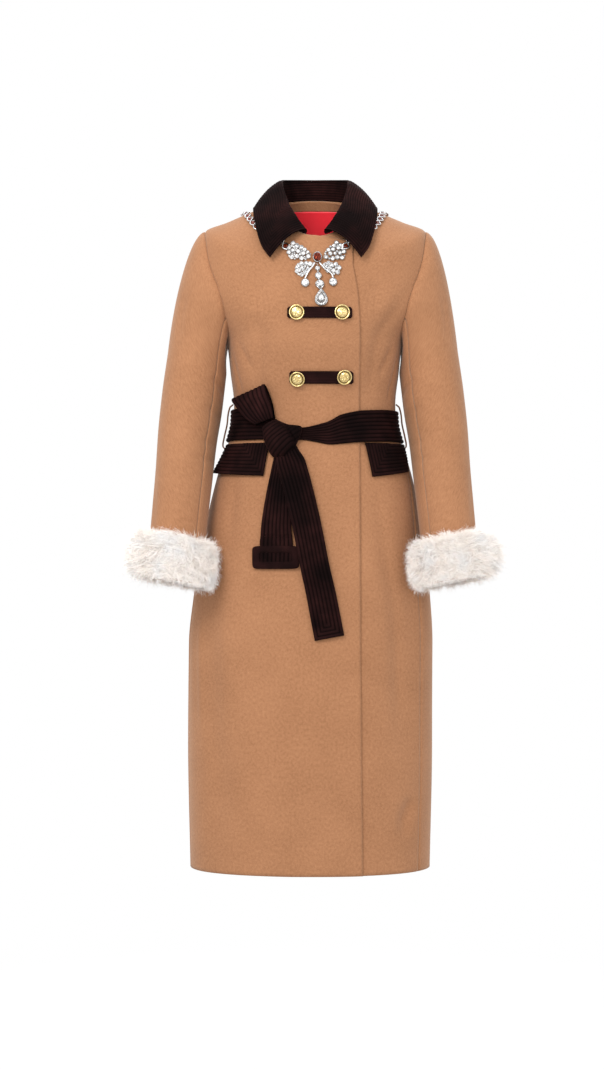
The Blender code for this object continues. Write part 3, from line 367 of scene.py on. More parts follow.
class BodyForm:
    """The body's surface: squarish rings from hem to neck, with soft troughs sunk into them."""

    def __init__(self) -> None:
        """Fit the rings, the seams and the front edge."""
        self.rings = SmoothTable(RING_COLUMNS, RINGS)
        self.seams = SmoothTable(("level", "right", "left"), SIDE_SEAMS)
        self.edge = SmoothTable(("level", "x"), FRONT_EDGE)
        self.armhole = SmoothTable(("share", "front", "back", "level"), ARMHOLE)

    def bare(self, angle: Array, level: Array) -> Array:
        """Return points of the surface without its troughs.

        Args:
            angle: Angles round the body, 0 in front and 90 on the wearer's left.
            level: Levels of the rings.

        Returns:
            Points.
        """
        angle, level = spread(angle, level)
        turn = np.radians(angle)
        sine, cosine = np.sin(turn), np.cos(turn)
        read = self.rings.read
        exponent = 2 / SQUARENESS
        x = read("centre_x", level) + read("half_width", level) * signed_power(sine, exponent)
        ahead = cosine > 0
        reach = np.where(ahead, read("front", level), read("back", level))
        y = read("centre_y", level) - reach * signed_power(cosine, exponent)
        end = np.where(ahead, read("z_front", level), read("z_back", level))
        side = read("z_side", level)
        z = side + (end - side) * np.abs(cosine) ** RIDGE_ROUNDING
        return np.stack((x, y, z), axis=-1)

    def normal(self, angle: Array, level: Array) -> Array:
        """Return the surface's outward unit normals.

        Args:
            angle: Angles round the body.
            level: Levels of the rings.

        Returns:
            The normals.
        """
        angle, level = spread(angle, level)
        around = self.bare(angle + NORMAL_TURN, level) - self.bare(angle - NORMAL_TURN, level)
        high = self.bare(angle, np.minimum(level + NORMAL_RISE, NECK_LEVEL))
        low = self.bare(angle, np.maximum(level - NORMAL_RISE, HEM))
        return unit(np.cross(around, high - low))

    def place(self, angle: Array, level: Array, lift: Array | float = 0.0, creased: bool = False) -> Array:
        """Return points over the coat's outer surface.

        Args:
            angle: Angles round the body.
            level: Levels of the rings.
            lift: How far the points are moved out.
            creased: Whether the cloth's own small creases are sunk too.

        Returns:
            Points.
        """
        depth = trough_depth(angle, level, FOLDS, FOLD_SCALE)
        if creased:
            depth = depth + CREASE_STRENGTH * trough_depth(angle, level, CREASES, FOLD_SCALE)
        shift = np.asarray(lift - depth)
        return self.bare(angle, level) + self.normal(angle, level) * shift[..., None]

    def angle_at(self, x: Array, level: Array) -> Array:
        """Return the front angle at which a ring has this x."""
        share = (x - self.rings.read("centre_x", level)) / self.rings.read("half_width", level)
        return np.degrees(np.arcsin(signed_power(np.clip(share, -1, 1), SQUARENESS / 2)))

    def front_place(self, x: Array, z: Array) -> Pair:
        """Return the angle and level of the front surface at x and z.

        Args:
            x: Distances to the wearer's left.
            z: Heights.

        Returns:
            Angles and levels.
        """
        x, z = spread(x, z)
        low, high = np.full(x.shape, float(HEM)), np.full(x.shape, float(NECK_LEVEL))
        for _ in range(HALVINGS):
            middle = (low + high) / 2
            below = self.bare(self.angle_at(x, middle), middle)[..., 2] < z
            low, high = np.where(below, middle, low), np.where(below, high, middle)
        return self.angle_at(x, low), low

    def lap(self, angle: Array, level: Array) -> Array:
        """Return how far the overlapping front stands off the surface."""
        return FRONT_LAP * smoothstep(*LAP_FADE, self.bare(angle, level)[..., 0])

    def on_front(self, x: Array, z: Array, lift: Array | float) -> Array:
        """Return points over the lapping front at x and z, lifted off its cloth."""
        angle, level = self.front_place(x, z)
        return self.place(angle, level, self.lap(angle, level) + lift)

    def armhole_line(self, hand: Hand, face: str, share: Array) -> Pair:
        """Return angles and levels along an armhole, from the underarm up to the shoulder."""
        return hand.value * self.armhole.read(face, share), self.armhole.read("level", share)


FORM = BodyForm()


class Signal:
    """A number socket that takes part in Python arithmetic by adding Math nodes."""

    def __init__(self, recipe: "Recipe", socket: NodeSocket) -> None:
        """Wrap a socket of a recipe's node tree."""
        self.recipe = recipe
        self.socket = socket

    def join(self, operation: str, other: "Signal | float" = 0.0) -> "Signal":
        """Return what a Math node makes of this and another value."""
        made = self.recipe.node("ShaderNodeMath", {0: self, 1: other}, operation=operation)
        return Signal(self.recipe, made.outputs[0])

    def __add__(self, other: "Signal | float") -> "Signal":
        """Add a value."""
        return self.join("ADD", other)

    def __sub__(self, other: "Signal | float") -> "Signal":
        """Take a value away."""
        return self.join("SUBTRACT", other)

    def __mul__(self, other: "Signal | float") -> "Signal":
        """Multiply by a value."""
        return self.join("MULTIPLY", other)

    def __pow__(self, exponent: float) -> "Signal":
        """Raise to a power."""
        return self.join("POWER", exponent)

    def __gt__(self, other: float) -> "Signal":
        """Return one where this is greater."""
        return self.join("GREATER_THAN", other)

    def __abs__(self) -> "Signal":
        """Drop the sign."""
        return self.join("ABSOLUTE")

    def fraction(self) -> "Signal":
        """Return the part after the point."""
        return self.join("FRACT")


class Recipe:
    """A material under construction, with one Principled shader."""

    def __init__(self, name: str, colour: Colour, roughness: float,
                 constants: dict[str, object] | None = None) -> None:
        """Start a material.

        Args:
            name: The material's name.
            colour: Base colour in linear light.
            roughness: Base roughness.
            constants: Values of the shader's other sockets.
        """
        self.material = bpy.data.materials.new(name)
        self.material.use_nodes = True
        self.tree = self.material.node_tree
        self.shader = self.tree.nodes["Principled BSDF"]
        self.shader.inputs["Base Color"].default_value = (*colour, 1.0)
        self.shader.inputs["Roughness"].default_value = roughness
        for socket, value in (constants or {}).items():
            self.shader.inputs[socket].default_value = value
        self.material.diffuse_color = (*colour, 1.0)

    def node(self, kind: str, values: dict[str | int, object] | None = None, **settings: object) -> Node:
        """Add a node.

        Args:
            kind: The node's type.
            values: A number, a colour or a link for each of its sockets.
            settings: Its properties.

        Returns:
            The node.
        """
        made = self.tree.nodes.new(kind)
        for key, value in settings.items():
            setattr(made, key, value)
        for socket, value in (values or {}).items():
            value = value.socket if isinstance(value, Signal) else value
            if isinstance(value, NodeSocket):
                self.tree.links.new(value, made.inputs[socket])
            else:
                made.inputs[socket].default_value = value
        return made

    def coordinates(self, source: str, scale: Three = (1, 1, 1)) -> NodeSocket:
        """Return UV or Object coordinates, scaled."""
        start = self.node("ShaderNodeTexCoord").outputs[source]
        return self.node("ShaderNodeMapping", {"Vector": start, "Scale": scale}).outputs["Vector"]

    def uv(self) -> tuple[Signal, Signal]:
        """Return the piece's own coordinates, in metres along and across it."""
        split = self.node("ShaderNodeSeparateXYZ", {"Vector": self.coordinates("UV")})
        return Signal(self, split.outputs["X"]), Signal(self, split.outputs["Y"])

    def noise(self, where: NodeSocket, scale: float, detail: float = 2.0, rough: float = 0.5) -> Signal:
        """Return a noise pattern from about 0.2 to 0.8."""
        values = {"Vector": where, "Scale": scale, "Detail": detail, "Roughness": rough}
        return Signal(self, self.node("ShaderNodeTexNoise", values).outputs[0])

    def blend(self, factor: Signal, first: object, second: object) -> NodeSocket:
        """Return a colour between two, each a colour or a link."""
        ends = [value if isinstance(value, NodeSocket) else (*value, 1.0) for value in (first, second)]
        return self.node("ShaderNodeMix", {0: factor, 6: ends[0], 7: ends[1]}, data_type="RGBA").outputs[2]

    def bump(self, height: Signal, strength: float, distance: float) -> None:
        """Raise the surface, after any bump that is there already.

        Args:
            height: The pattern of heights.
            strength: Share of the bump that shows.
            distance: Its height in metres.
        """
        values = {"Height": height, "Strength": strength, "Distance": distance}
        for link in self.shader.inputs["Normal"].links:
            values["Normal"] = link.from_socket
        self.feed("Normal", self.node("ShaderNodeBump", values).outputs["Normal"])

    def feed(self, socket: str, value: object) -> None:
        """Link a pattern to a socket of the shader."""
        source = value.socket if isinstance(value, Signal) else value
        self.tree.links.new(source, self.shader.inputs[socket])


@dataclass(frozen=True)
class WoolFinish:
    """Brushed wool coating: a soft nap over a close weave, with faint mottling."""

    light: Colour = (0.362, 0.170, 0.083)
    deep: Colour = (0.252, 0.112, 0.051)
    fibre: Colour = (0.440, 0.226, 0.121)

    def dress(self) -> Material:
        """Mix the material.

        Returns:
            The material.
        """
        recipe = Recipe("camel_wool_nap", self.light, 0.92, {
            "Sheen Weight": 0.22, "Sheen Roughness": 0.45, "Sheen Tint": (1.0, 0.86, 0.72, 1.0),
            "Specular IOR Level": 0.18})
        nap = recipe.noise(recipe.coordinates("UV", (1500, 520, 1)), 1.0, 3.0, 0.6)
        grain = recipe.noise(recipe.coordinates("UV", (240, 200, 1)), 1.0, 3.0, 0.65)
        cloud = recipe.noise(recipe.coordinates("Object"), 14.0, 2.0)
        tone = recipe.blend(grain * 2.2 + cloud * 0.8 - 1.0, self.deep, self.light)
        flecks = (nap - 0.5) * 2.6
        recipe.feed("Base Color", recipe.blend(flecks, tone, self.fibre))
        recipe.feed("Roughness", grain * 0.12 + 0.84)
        recipe.bump(nap, 0.35, 0.0006)
        recipe.bump(grain, 0.25, 0.0012)
        return recipe.material


@dataclass(frozen=True)
class VelvetFinish:
    """Dark velvet with a painted reddish sheen in random patches, and thread along its stitched valleys, which get a
    painted shade.

    Attributes:
        name: The material's name.
        pitch: Distance between stitched rows in metres, or 0 for plain velvet.
    """

    name: str
    pitch: float = 0.0
    pile: Colour = (0.0046, 0.0018, 0.0018)
    # A painted highlight: the reddish colour is laid into the base colour as sheen off the pile.
    sheen: Colour = (0.0350, 0.0106, 0.0097)
    # A painted shade: near black for the grooves of the stitched valleys.
    valley: Colour = (0.0006, 0.0003, 0.0003)

    def dress(self) -> Material:
        """Mix the material.

        Returns:
            The material.
        """
        recipe = Recipe(self.name, self.pile, 0.85, {
            "Sheen Weight": 0.045, "Sheen Roughness": 0.30, "Sheen Tint": (0.62, 0.26, 0.24, 1.0),
            "Specular IOR Level": 0.04})
        pile = recipe.noise(recipe.coordinates("UV", (2600, 900, 1)), 1.0, 2.0, 0.6)
        crush = recipe.noise(recipe.coordinates("Object"), 60.0, 3.0, 0.6)
        # Painted sheen: a noise places it in random patches, and the crushed pile breaks it up.
        sheen_patches = recipe.noise(recipe.coordinates("Object"), 15.0, 2.0)
        colour = recipe.blend(crush * pile * (sheen_patches * 5.2 - 1.7), self.pile, self.sheen)
        recipe.bump(pile, 0.4, 0.0004)
        recipe.bump(crush, 0.18, 0.0020)
        if self.pitch:
            along, across = recipe.uv()
            row = abs((across * (1 / self.pitch)).fraction() - 0.5)
            stitch = abs((along * (1 / 0.0032)).fraction() - 0.5) > 0.09
            # The stitched valleys are painted near black, a painted shade in the grooves between the rows.
            colour = recipe.blend((row * 2.0) ** 3.0, colour, self.valley)
            recipe.bump((row > 0.455) * stitch, 0.25, 0.0003)
        recipe.feed("Base Color", colour)
        return recipe.material


@dataclass(frozen=True)
class LiningFinish:
    """Red satin: a smooth weave with soft ripples, painted darker in their hollows as shade."""

    colour: Colour = (0.980, 0.028, 0.046)
    # The second colour is a painted shade for the hollows of the ripples.
    shade: Colour = (0.860, 0.019, 0.034)

    def dress(self) -> Material:
        """Mix the material.

        Returns:
            The material.
        """
        recipe = Recipe("red_satin", self.colour, 0.42, {"Sheen Weight": 0.2, "Specular IOR Level": 0.4})
        weave = recipe.noise(recipe.coordinates("UV", (3200, 300, 1)), 1.0, 1.0)
        ripple = recipe.noise(recipe.coordinates("Object", (1, 1, 0.4)), 38.0, 2.0)
        # Painted shade: the satin is darker where its ripples sink, read from the same noise that raises them.
        recipe.feed("Base Color", recipe.blend(ripple * 1.4 - 0.2, self.shade, self.colour))
        recipe.feed("Roughness", weave * 0.2 + 0.34)
        recipe.bump(ripple, 0.3, 0.002)
        recipe.bump(weave, 0.12, 0.0002)
        return recipe.material


@dataclass(frozen=True)
class FurFinish:
    """Cream fur, warmer and darker at its roots, that darkness partly a painted shade deep in the fur, and cooler and
    paler at its tips.
    """

    # The root colour is a warmer tone and, in its darkness, partly a painted shade deep among the strands.
    root: Colour = (0.680, 0.620, 0.580)
    middle: Colour = (0.950, 0.880, 0.820)
    tip: Colour = (0.980, 0.945, 0.915)
    cool: Colour = (0.860, 0.880, 0.900)

    def dress(self) -> Material:
        """Mix the material.

        Returns:
            The material.
        """
        recipe = Recipe("cream_fur", self.middle, 0.75, {
            "Sheen Weight": 0.4, "Sheen Roughness": 0.5, "Specular IOR Level": 0.25,
            "Subsurface Weight": 0.15, "Subsurface Radius": (0.004, 0.003, 0.0025)})
        chance, along = recipe.uv()
        # Darker towards the roots: partly the fur's warmer tone, partly a painted shade deep in the fur.
        warm = recipe.blend(along * 1.7, self.root, self.middle)
        tone = recipe.blend(along * 2.0 - 1.0, warm, self.tip)
        patch = recipe.noise(recipe.coordinates("Object"), 26.0, 2.0)
        recipe.feed("Base Color", recipe.blend(patch * 2.2 + chance * 0.3 - 1.1, tone, self.cool))
        recipe.feed("Roughness", chance * 0.2 + 0.6)
        return recipe.material


@dataclass(frozen=True)
class MetalFinish:
    """Polished plate with soft wear and slight unevenness.

    Attributes:
        name: The material's name.
        bright: Colour of the raised plate.
        dull: Colour of its duller patches, placed at random where it has tarnished.
        roughness: Base roughness.
        groove: Share of the radius, read from the UV map, where a button is painted dark as shade in its groove, or 0
            for none.
    """

    name: str
    bright: Colour
    dull: Colour
    roughness: float
    groove: float = 0.0

    def dress(self) -> Material:
        """Mix the material.

        Returns:
            The material.
        """
        recipe = Recipe(self.name, self.bright, self.roughness, {"Metallic": 1.0})
        where = recipe.coordinates("Object")
        tone = recipe.noise(where, 420.0, 2.0)
        scuff = recipe.noise(where, 2600.0, 2.0, 0.7)
        colour = recipe.blend(tone * 1.6 - 0.35, self.bright, self.dull)
        if self.groove:
            # A painted shade: a dark ring in the groove between the button's rim and its dome.
            radius, _ = recipe.uv()
            dark = tuple(part * 0.22 for part in self.dull)
            colour = recipe.blend(abs(radius - self.groove) * -9.0 + 1.25, colour, dark)
        recipe.feed("Base Color", colour)
        recipe.feed("Roughness", scuff * 0.18 + (self.roughness - 0.06))
        recipe.bump(tone, 0.12, 0.0005)
        return recipe.material


@dataclass(frozen=True)
class CrystalFinish:
    """Cut crystal over foil under a hard clear coat, its facets painted at random as bright highlights and dark shade.

    Attributes:
        name: The material's name.
        bright: Painted highlight colour of the facets that stand as catching the light.
        dark: Painted shade colour of the facets that stand as looking inward.
        metallic: How much the foil behind shows as metal.
        grain: Scale of the change from facet to facet.
        balance: Below 1 most facets are dark, above 1 most are bright.
        gloss: Weight of the clear coat.
    """

    name: str
    bright: Colour
    dark: Colour
    metallic: float
    grain: float
    balance: float
    gloss: float

    def dress(self) -> Material:
        """Mix the material.

        Returns:
            The material.
        """
        recipe = Recipe(self.name, self.bright, 0.08, {
            "Metallic": self.metallic, "Coat Weight": self.gloss, "Coat Roughness": 0.02, "IOR": 1.6,
            "Specular IOR Level": self.gloss * 0.5})
        cells = recipe.node("ShaderNodeTexVoronoi", {"Vector": recipe.coordinates("Object"), "Scale": self.grain})
        split = recipe.node("ShaderNodeSeparateColor", {"Color": cells.outputs["Color"]})
        chance = Signal(recipe, split.outputs[0])
        # Painted highlights and painted shade: each facet cell is coloured bright or dark at random, standing in for
        # the light it would catch.
        recipe.feed("Base Color", recipe.blend(chance ** self.balance, self.bright, self.dark))
        recipe.feed("Roughness", chance * 0.1 + 0.03)
        return recipe.material


@dataclass(frozen=True)
class Look:
    """A finish and the record's slot for it."""

    material: Material
    slot: Slot


def finish_piece(piece: Object, look: Look, *nodes: str) -> None:
    """Dress a piece, stand it for its solids and let it ride on the coat.

    Args:
        piece: The new piece.
        look: Its finish.
        nodes: The solids that it replaces.
    """
    piece.data.materials.clear()
    piece.data.materials.append(look.material)
    if nodes:
        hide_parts(*nodes)
    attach(piece, "root")
    LOG.info("%s: %d faces, %s", piece.name, len(piece.data.polygons), look.material.name)


def mesh_of(name: str, bm: bmesh.types.BMesh) -> Mesh:
    """Turn a bmesh into a mesh and free it.

    Args:
        name: The mesh's name.
        bm: The bmesh.

    Returns:
        The mesh.
    """
    mesh = bpy.data.meshes.new(name)
    bm.to_mesh(mesh)
    bm.free()
    return mesh


def mesh_object(name: str, mesh: Mesh, smooth: bool = True) -> Object:
    """Show a mesh.

    Args:
        name: The object's name.
        mesh: Its mesh.
        smooth: Whether it is shaded smooth.

    Returns:
        The linked object.
    """
    if smooth:
        mesh.shade_smooth()
    else:
        mesh.shade_flat()
    made = bpy.data.objects.new(name, mesh)
    bpy.context.scene.collection.objects.link(made)
    return made


def sort_faces(bm: bmesh.types.BMesh) -> None:
    """Put a bmesh's faces in the order of their places, which a spin leaves to chance.

    Args:
        bm: The bmesh.
    """
    for rank, face in enumerate(sorted(bm.faces, key=lambda face: tuple(face.calc_center_median()))):
        face.index = rank
    bm.faces.sort()


def lay_map(mesh: Mesh, places: Array) -> None:
    """Give a mesh its UV map.

    Args:
        mesh: The mesh.
        places: Each vertex's place on the map.
    """
    corner = np.empty(len(mesh.loops), int)
    mesh.loops.foreach_get("vertex_index", corner)
    mesh.uv_layers.new(name="UVMap").data.foreach_set("uv", places[corner].ravel())


def sheet_mesh(name: str, points: Array, outward: Array, thickness: float = 0.0, pattern: Array | None = None,
               closed: bool = False) -> Object:
    """Lay a bmesh grid over points of a form and give it a thickness towards its inner side.

    Args:
        name: The object's name.
        points: Rows and columns of points.
        outward: A vector that points out of the sheet at its middle.
        thickness: The cloth's thickness, or 0 for a surface alone.
        pattern: The pattern's two coordinates at each point, or None for the grid's own runs.
        closed: Whether points that meet are joined, as round a tube or at a pole.

    Returns:
        The sheet, its UV map in metres.
    """
    rows, columns = points.shape[:2]
    bm = bmesh.new()
    bmesh.ops.create_grid(bm, x_segments=columns - 1, y_segments=rows - 1, size=1.0)
    mesh = mesh_of(name, bm)
    flat = np.empty(len(mesh.vertices) * 3)
    mesh.vertices.foreach_get("co", flat)
    flat = flat.reshape(-1, 3)
    column = np.rint((flat[:, 0] + 1) / 2 * (columns - 1)).astype(int)
    row = np.rint((flat[:, 1] + 1) / 2 * (rows - 1)).astype(int)
    mesh.vertices.foreach_set("co", (points[row, column] * MM).ravel())
    if pattern is None:
        pattern = paired(run_lengths(points, 1), run_lengths(points, 0))
    lay_map(mesh, pattern[row, column] * MM)
    middle_row, middle_column = rows // 2, columns // 2
    step_x = points[middle_row, min(middle_column + 1, columns - 1)] - points[middle_row, middle_column - 1]
    step_y = points[min(middle_row + 1, rows - 1), middle_column] - points[middle_row - 1, middle_column]
    if np.dot(np.cross(step_x, step_y), outward) < 0:
        mesh.flip_normals()
    if closed:
        bm = bmesh.new()
        bm.from_mesh(mesh)
        bmesh.ops.remove_doubles(bm, verts=bm.verts, dist=JOIN_DISTANCE)
        bm.to_mesh(mesh)
        bm.free()
    made = mesh_object(name, mesh)
    if thickness:
        wall = made.modifiers.new("thickness", "SOLIDIFY")
        wall.thickness = thickness * MM
        wall.offset = -1.0
        wall.use_even_offset = False
    return made


def copies(name: str, template: Mesh, frames: Array, look: Look, *nodes: str, smooth: bool = False) -> None:
    """Join many copies of a small mesh into one finished piece.

    Args:
        name: The piece's name.
        template: The small mesh in metres, which is removed.
        frames: One 4 by 4 matrix for each copy.
        look: The finish.
        nodes: The solids that the piece replaces.
        smooth: Whether the copies are shaded smooth.
    """
    count = len(template.vertices)
    corners = np.empty(count * 3)
    template.vertices.foreach_get("co", corners)
    corners = np.concatenate((corners.reshape(-1, 3), np.ones((count, 1))), axis=1)
    placed = np.einsum("nij,vj->nvi", frames, corners)[..., :3].reshape(-1, 3)
    faces = [tuple(polygon.vertices) for polygon in template.polygons]
    every = [tuple(index + copy * count for index in face) for copy in range(len(frames)) for face in faces]
    mesh = bpy.data.meshes.new(name)
    mesh.from_pydata(placed.tolist(), [], every)
    bpy.data.meshes.remove(template)
    finish_piece(mesh_object(name, mesh, smooth), look, *nodes)


def frame_from(origin: Array, x_axis: Array, normal: Array, scale: Sequence[float] = (1, 1, 1)) -> Array:
    """Return a matrix that seats a shape made on the XY plane.

    Args:
        origin: Where it goes.
        x_axis: Where its own x points, roughly.
        normal: Where its own z points.
        scale: Its scale along its own axes.

    Returns:
        A 4 by 4 matrix in metres.
    """
    third = unit(normal)
    first = unit(x_axis - third * np.dot(x_axis, third))
    made = np.eye(4)
    for k, axis in enumerate((first, np.cross(third, first), third)):
        made[:3, k] = axis * scale[k]
    made[:3, 3] = np.asarray(origin) * MM
    return made


def declare_cloth(piece: Object, points: Array) -> None:
    """Log the size and area of the cloth that a piece is cut from, read off its grid.

    Args:
        piece: The cloth.
        points: Its grid of points.
    """
    flat = (float(run_lengths(points, 1).max()) * MM, float(run_lengths(points, 0).max()) * MM)
    first = np.cross(points[1:, :-1] - points[:-1, :-1], points[:-1, 1:] - points[:-1, :-1])
    second = np.cross(points[1:, 1:] - points[1:, :-1], points[1:, 1:] - points[:-1, 1:])
    area = (np.linalg.norm(first, axis=-1) + np.linalg.norm(second, axis=-1)).sum() / 2 * MM * MM
    area = float(min(area, flat[0] * flat[1]))
    LOG.info("%s is cut %.0f x %.0f mm, %.4f square metres", piece.name, flat[0] / MM, flat[1] / MM, area)


@dataclass(frozen=True)
class Cloth:
    """A kind of cloth.

    Attributes:
        word: The last word of its pieces' names.
        look: Its finish.
        thickness: Its thickness, or 0 for a form that is closed.
    """

    word: str
    look: Look
    thickness: float

    def sew(self, node: str, points: Array, outward: Array, held: str = "", rests_on: Sequence[str] = (),
            pattern: Array | None = None, closed: bool = False) -> Object:
        """Args:
            node: The solid that it replaces.
            points: Its grid of points.
            outward: A vector that points out of it at its middle.
            held: How it is held, or nothing for a piece that isn't a sheet.
            rests_on: Names of what carries it; not used.
            pattern: The pattern's coordinates at each point.
            closed: Whether points that meet are joined.

        Returns:
            The piece.
        """
        piece = sheet_mesh(f"{node}_{self.word}", points, outward, self.thickness, pattern, closed)
        finish_piece(piece, self.look, node)
        if held:
            declare_cloth(piece, points)
        return piece


class Wardrobe:
    """The coat's cloths, metals and stones, each finish made once."""

    def __init__(self) -> None:
        """Mix every material."""
        wool = Look(WoolFinish().dress(), Slot.WOOL)
        velvet, belt, collar, flap = (Look(VelvetFinish(name, pitch).dress(), Slot.VELVET) for name, pitch in (
            ("brown_velvet", 0.0), ("brown_velvet_belt_rows", 0.007), ("brown_velvet_collar_rows", 0.0045),
            ("brown_velvet_flap_rows", 0.006)))
        satin = Look(LiningFinish().dress(), Slot.LINING)
        self.fur = Look(FurFinish().dress(), Slot.FUR)
        # The gold's last number places the painted shade ring in the buttons' groove.
        gold = MetalFinish("gold_plate", (0.90, 0.76, 0.40), (0.46, 0.28, 0.07), 0.24, 0.73)
        silver = MetalFinish("silver_plate", (0.86, 0.86, 0.86), (0.36, 0.36, 0.37), 0.20)
        # A darker copy of the silver, a painted shade for the gaps and outlines round the stones.
        shaded_silver_finish = MetalFinish("shaded_silver_plate", (0.42, 0.41, 0.40), (0.12, 0.11, 0.11), 0.30)
        # The crystals' facets get painted highlights and painted shade; the dark red stone's orange facets are painted
        # glints.
        clear = CrystalFinish("clear_crystal", (0.98, 0.98, 0.97), (0.14, 0.15, 0.17), 0.30, 420.0, 1.3, 0.5)
        amber = CrystalFinish("dark_red_crystal", (0.60, 0.080, 0.020), (0.020, 0.0012, 0.0010), 0.0, 420.0, 0.22, 0.22)
        self.gold = Look(gold.dress(), Slot.GOLD)
        self.silver = Look(silver.dress(), Slot.SILVER)
        self.shaded_silver = Look(shaded_silver_finish.dress(), Slot.SILVER)
        self.clear = Look(clear.dress(), Slot.CLEAR)
        self.amber = Look(amber.dress(), Slot.AMBER)
        self.wool = Cloth("cloth", wool, WOOL)
        self.facing = Cloth("wool", wool, FACING)
        self.carrier = Cloth("wool", wool, CARRIER)
        self.lining = Cloth("satin", satin, LINING)
        self.collar = Cloth("velvet", collar, VELVET)
        self.belt = Cloth("velvet", belt, VELVET)
        self.knot = Cloth("velvet", belt, 0.0)
        self.flap = Cloth("velvet", flap, VELVET)
        self.tab = Cloth("velvet", velvet, TAB)
        self.buckle = Cloth("velvet", velvet, 0.0)
        self.ribbon = Cloth("ribbon", self.silver, RIBBON)


@dataclass
class PanelCut:
    """A panel of the body between two side lines, with an armhole or front edge on each side above.

    Attributes:
        start: The first edge's angle at levels below the underarm.
        end: The last edge's angle there.
        left: The first edge's angle and level at shares of the height above the underarm.
        right: The last edge's angle and level there.
        top: Places along the top edge, evenly shared over the columns.
    """

    start: Callable[[Array], Array]
    end: Callable[[Array], Array]
    left: Callable[[Array], Pair]
    right: Callable[[Array], Pair]
    top: Array

    def skirt(self, shares: Array, levels: Array) -> Pair:
        """Return the angles and levels of the panel below the underarm."""
        start, end = self.start(levels)[:, None], self.end(levels)[:, None]
        return start + (end - start) * shares, np.repeat(levels[:, None], len(shares), axis=1)

    def yoke(self, shares: Array, heights: Array) -> Pair:
        """Return the angles and levels above the underarm, blended from the panel's four edges.

        Args:
            shares: Shares of the width.
            heights: Shares of the height.

        Returns:
            Angles and levels.
        """
        low = self.skirt(shares, np.array([float(UNDERARM)]))
        left, right = self.left(heights), self.right(heights)
        at = shares * (len(self.top) - 1)
        u, v = shares[None, :], heights[:, None]
        found = []
        for k in range(2):
            bottom = low[k][0][None, :]
            top = np.interp(at, np.arange(len(self.top)), self.top[:, k])[None, :]
            edges = (1 - v) * bottom + v * top + (1 - u) * left[k][:, None] + u * right[k][:, None]
            base = (1 - u) * bottom[0, 0] + u * bottom[0, -1]
            crown = (1 - u) * self.top[0, k] + u * self.top[-1, k]
            found.append(edges - (1 - v) * base - v * crown)
        return found[0], found[1]

    def whole(self, columns: int, skirt_rows: int, yoke_rows: int) -> Pair:
        """Return the angles and levels of the whole panel from hem to top edge.

        Args:
            columns: Columns of the grid.
            skirt_rows: Rows below the underarm.
            yoke_rows: Rows above it.

        Returns:
            Angles and levels.
        """
        shares = np.linspace(0, 1, columns + 1)
        low = self.skirt(shares, np.linspace(HEM, UNDERARM, skirt_rows + 1))
        high = self.yoke(shares, np.linspace(0, 1, yoke_rows + 1)[1:])
        return np.concatenate((low[0], high[0])), np.concatenate((low[1], high[1]))


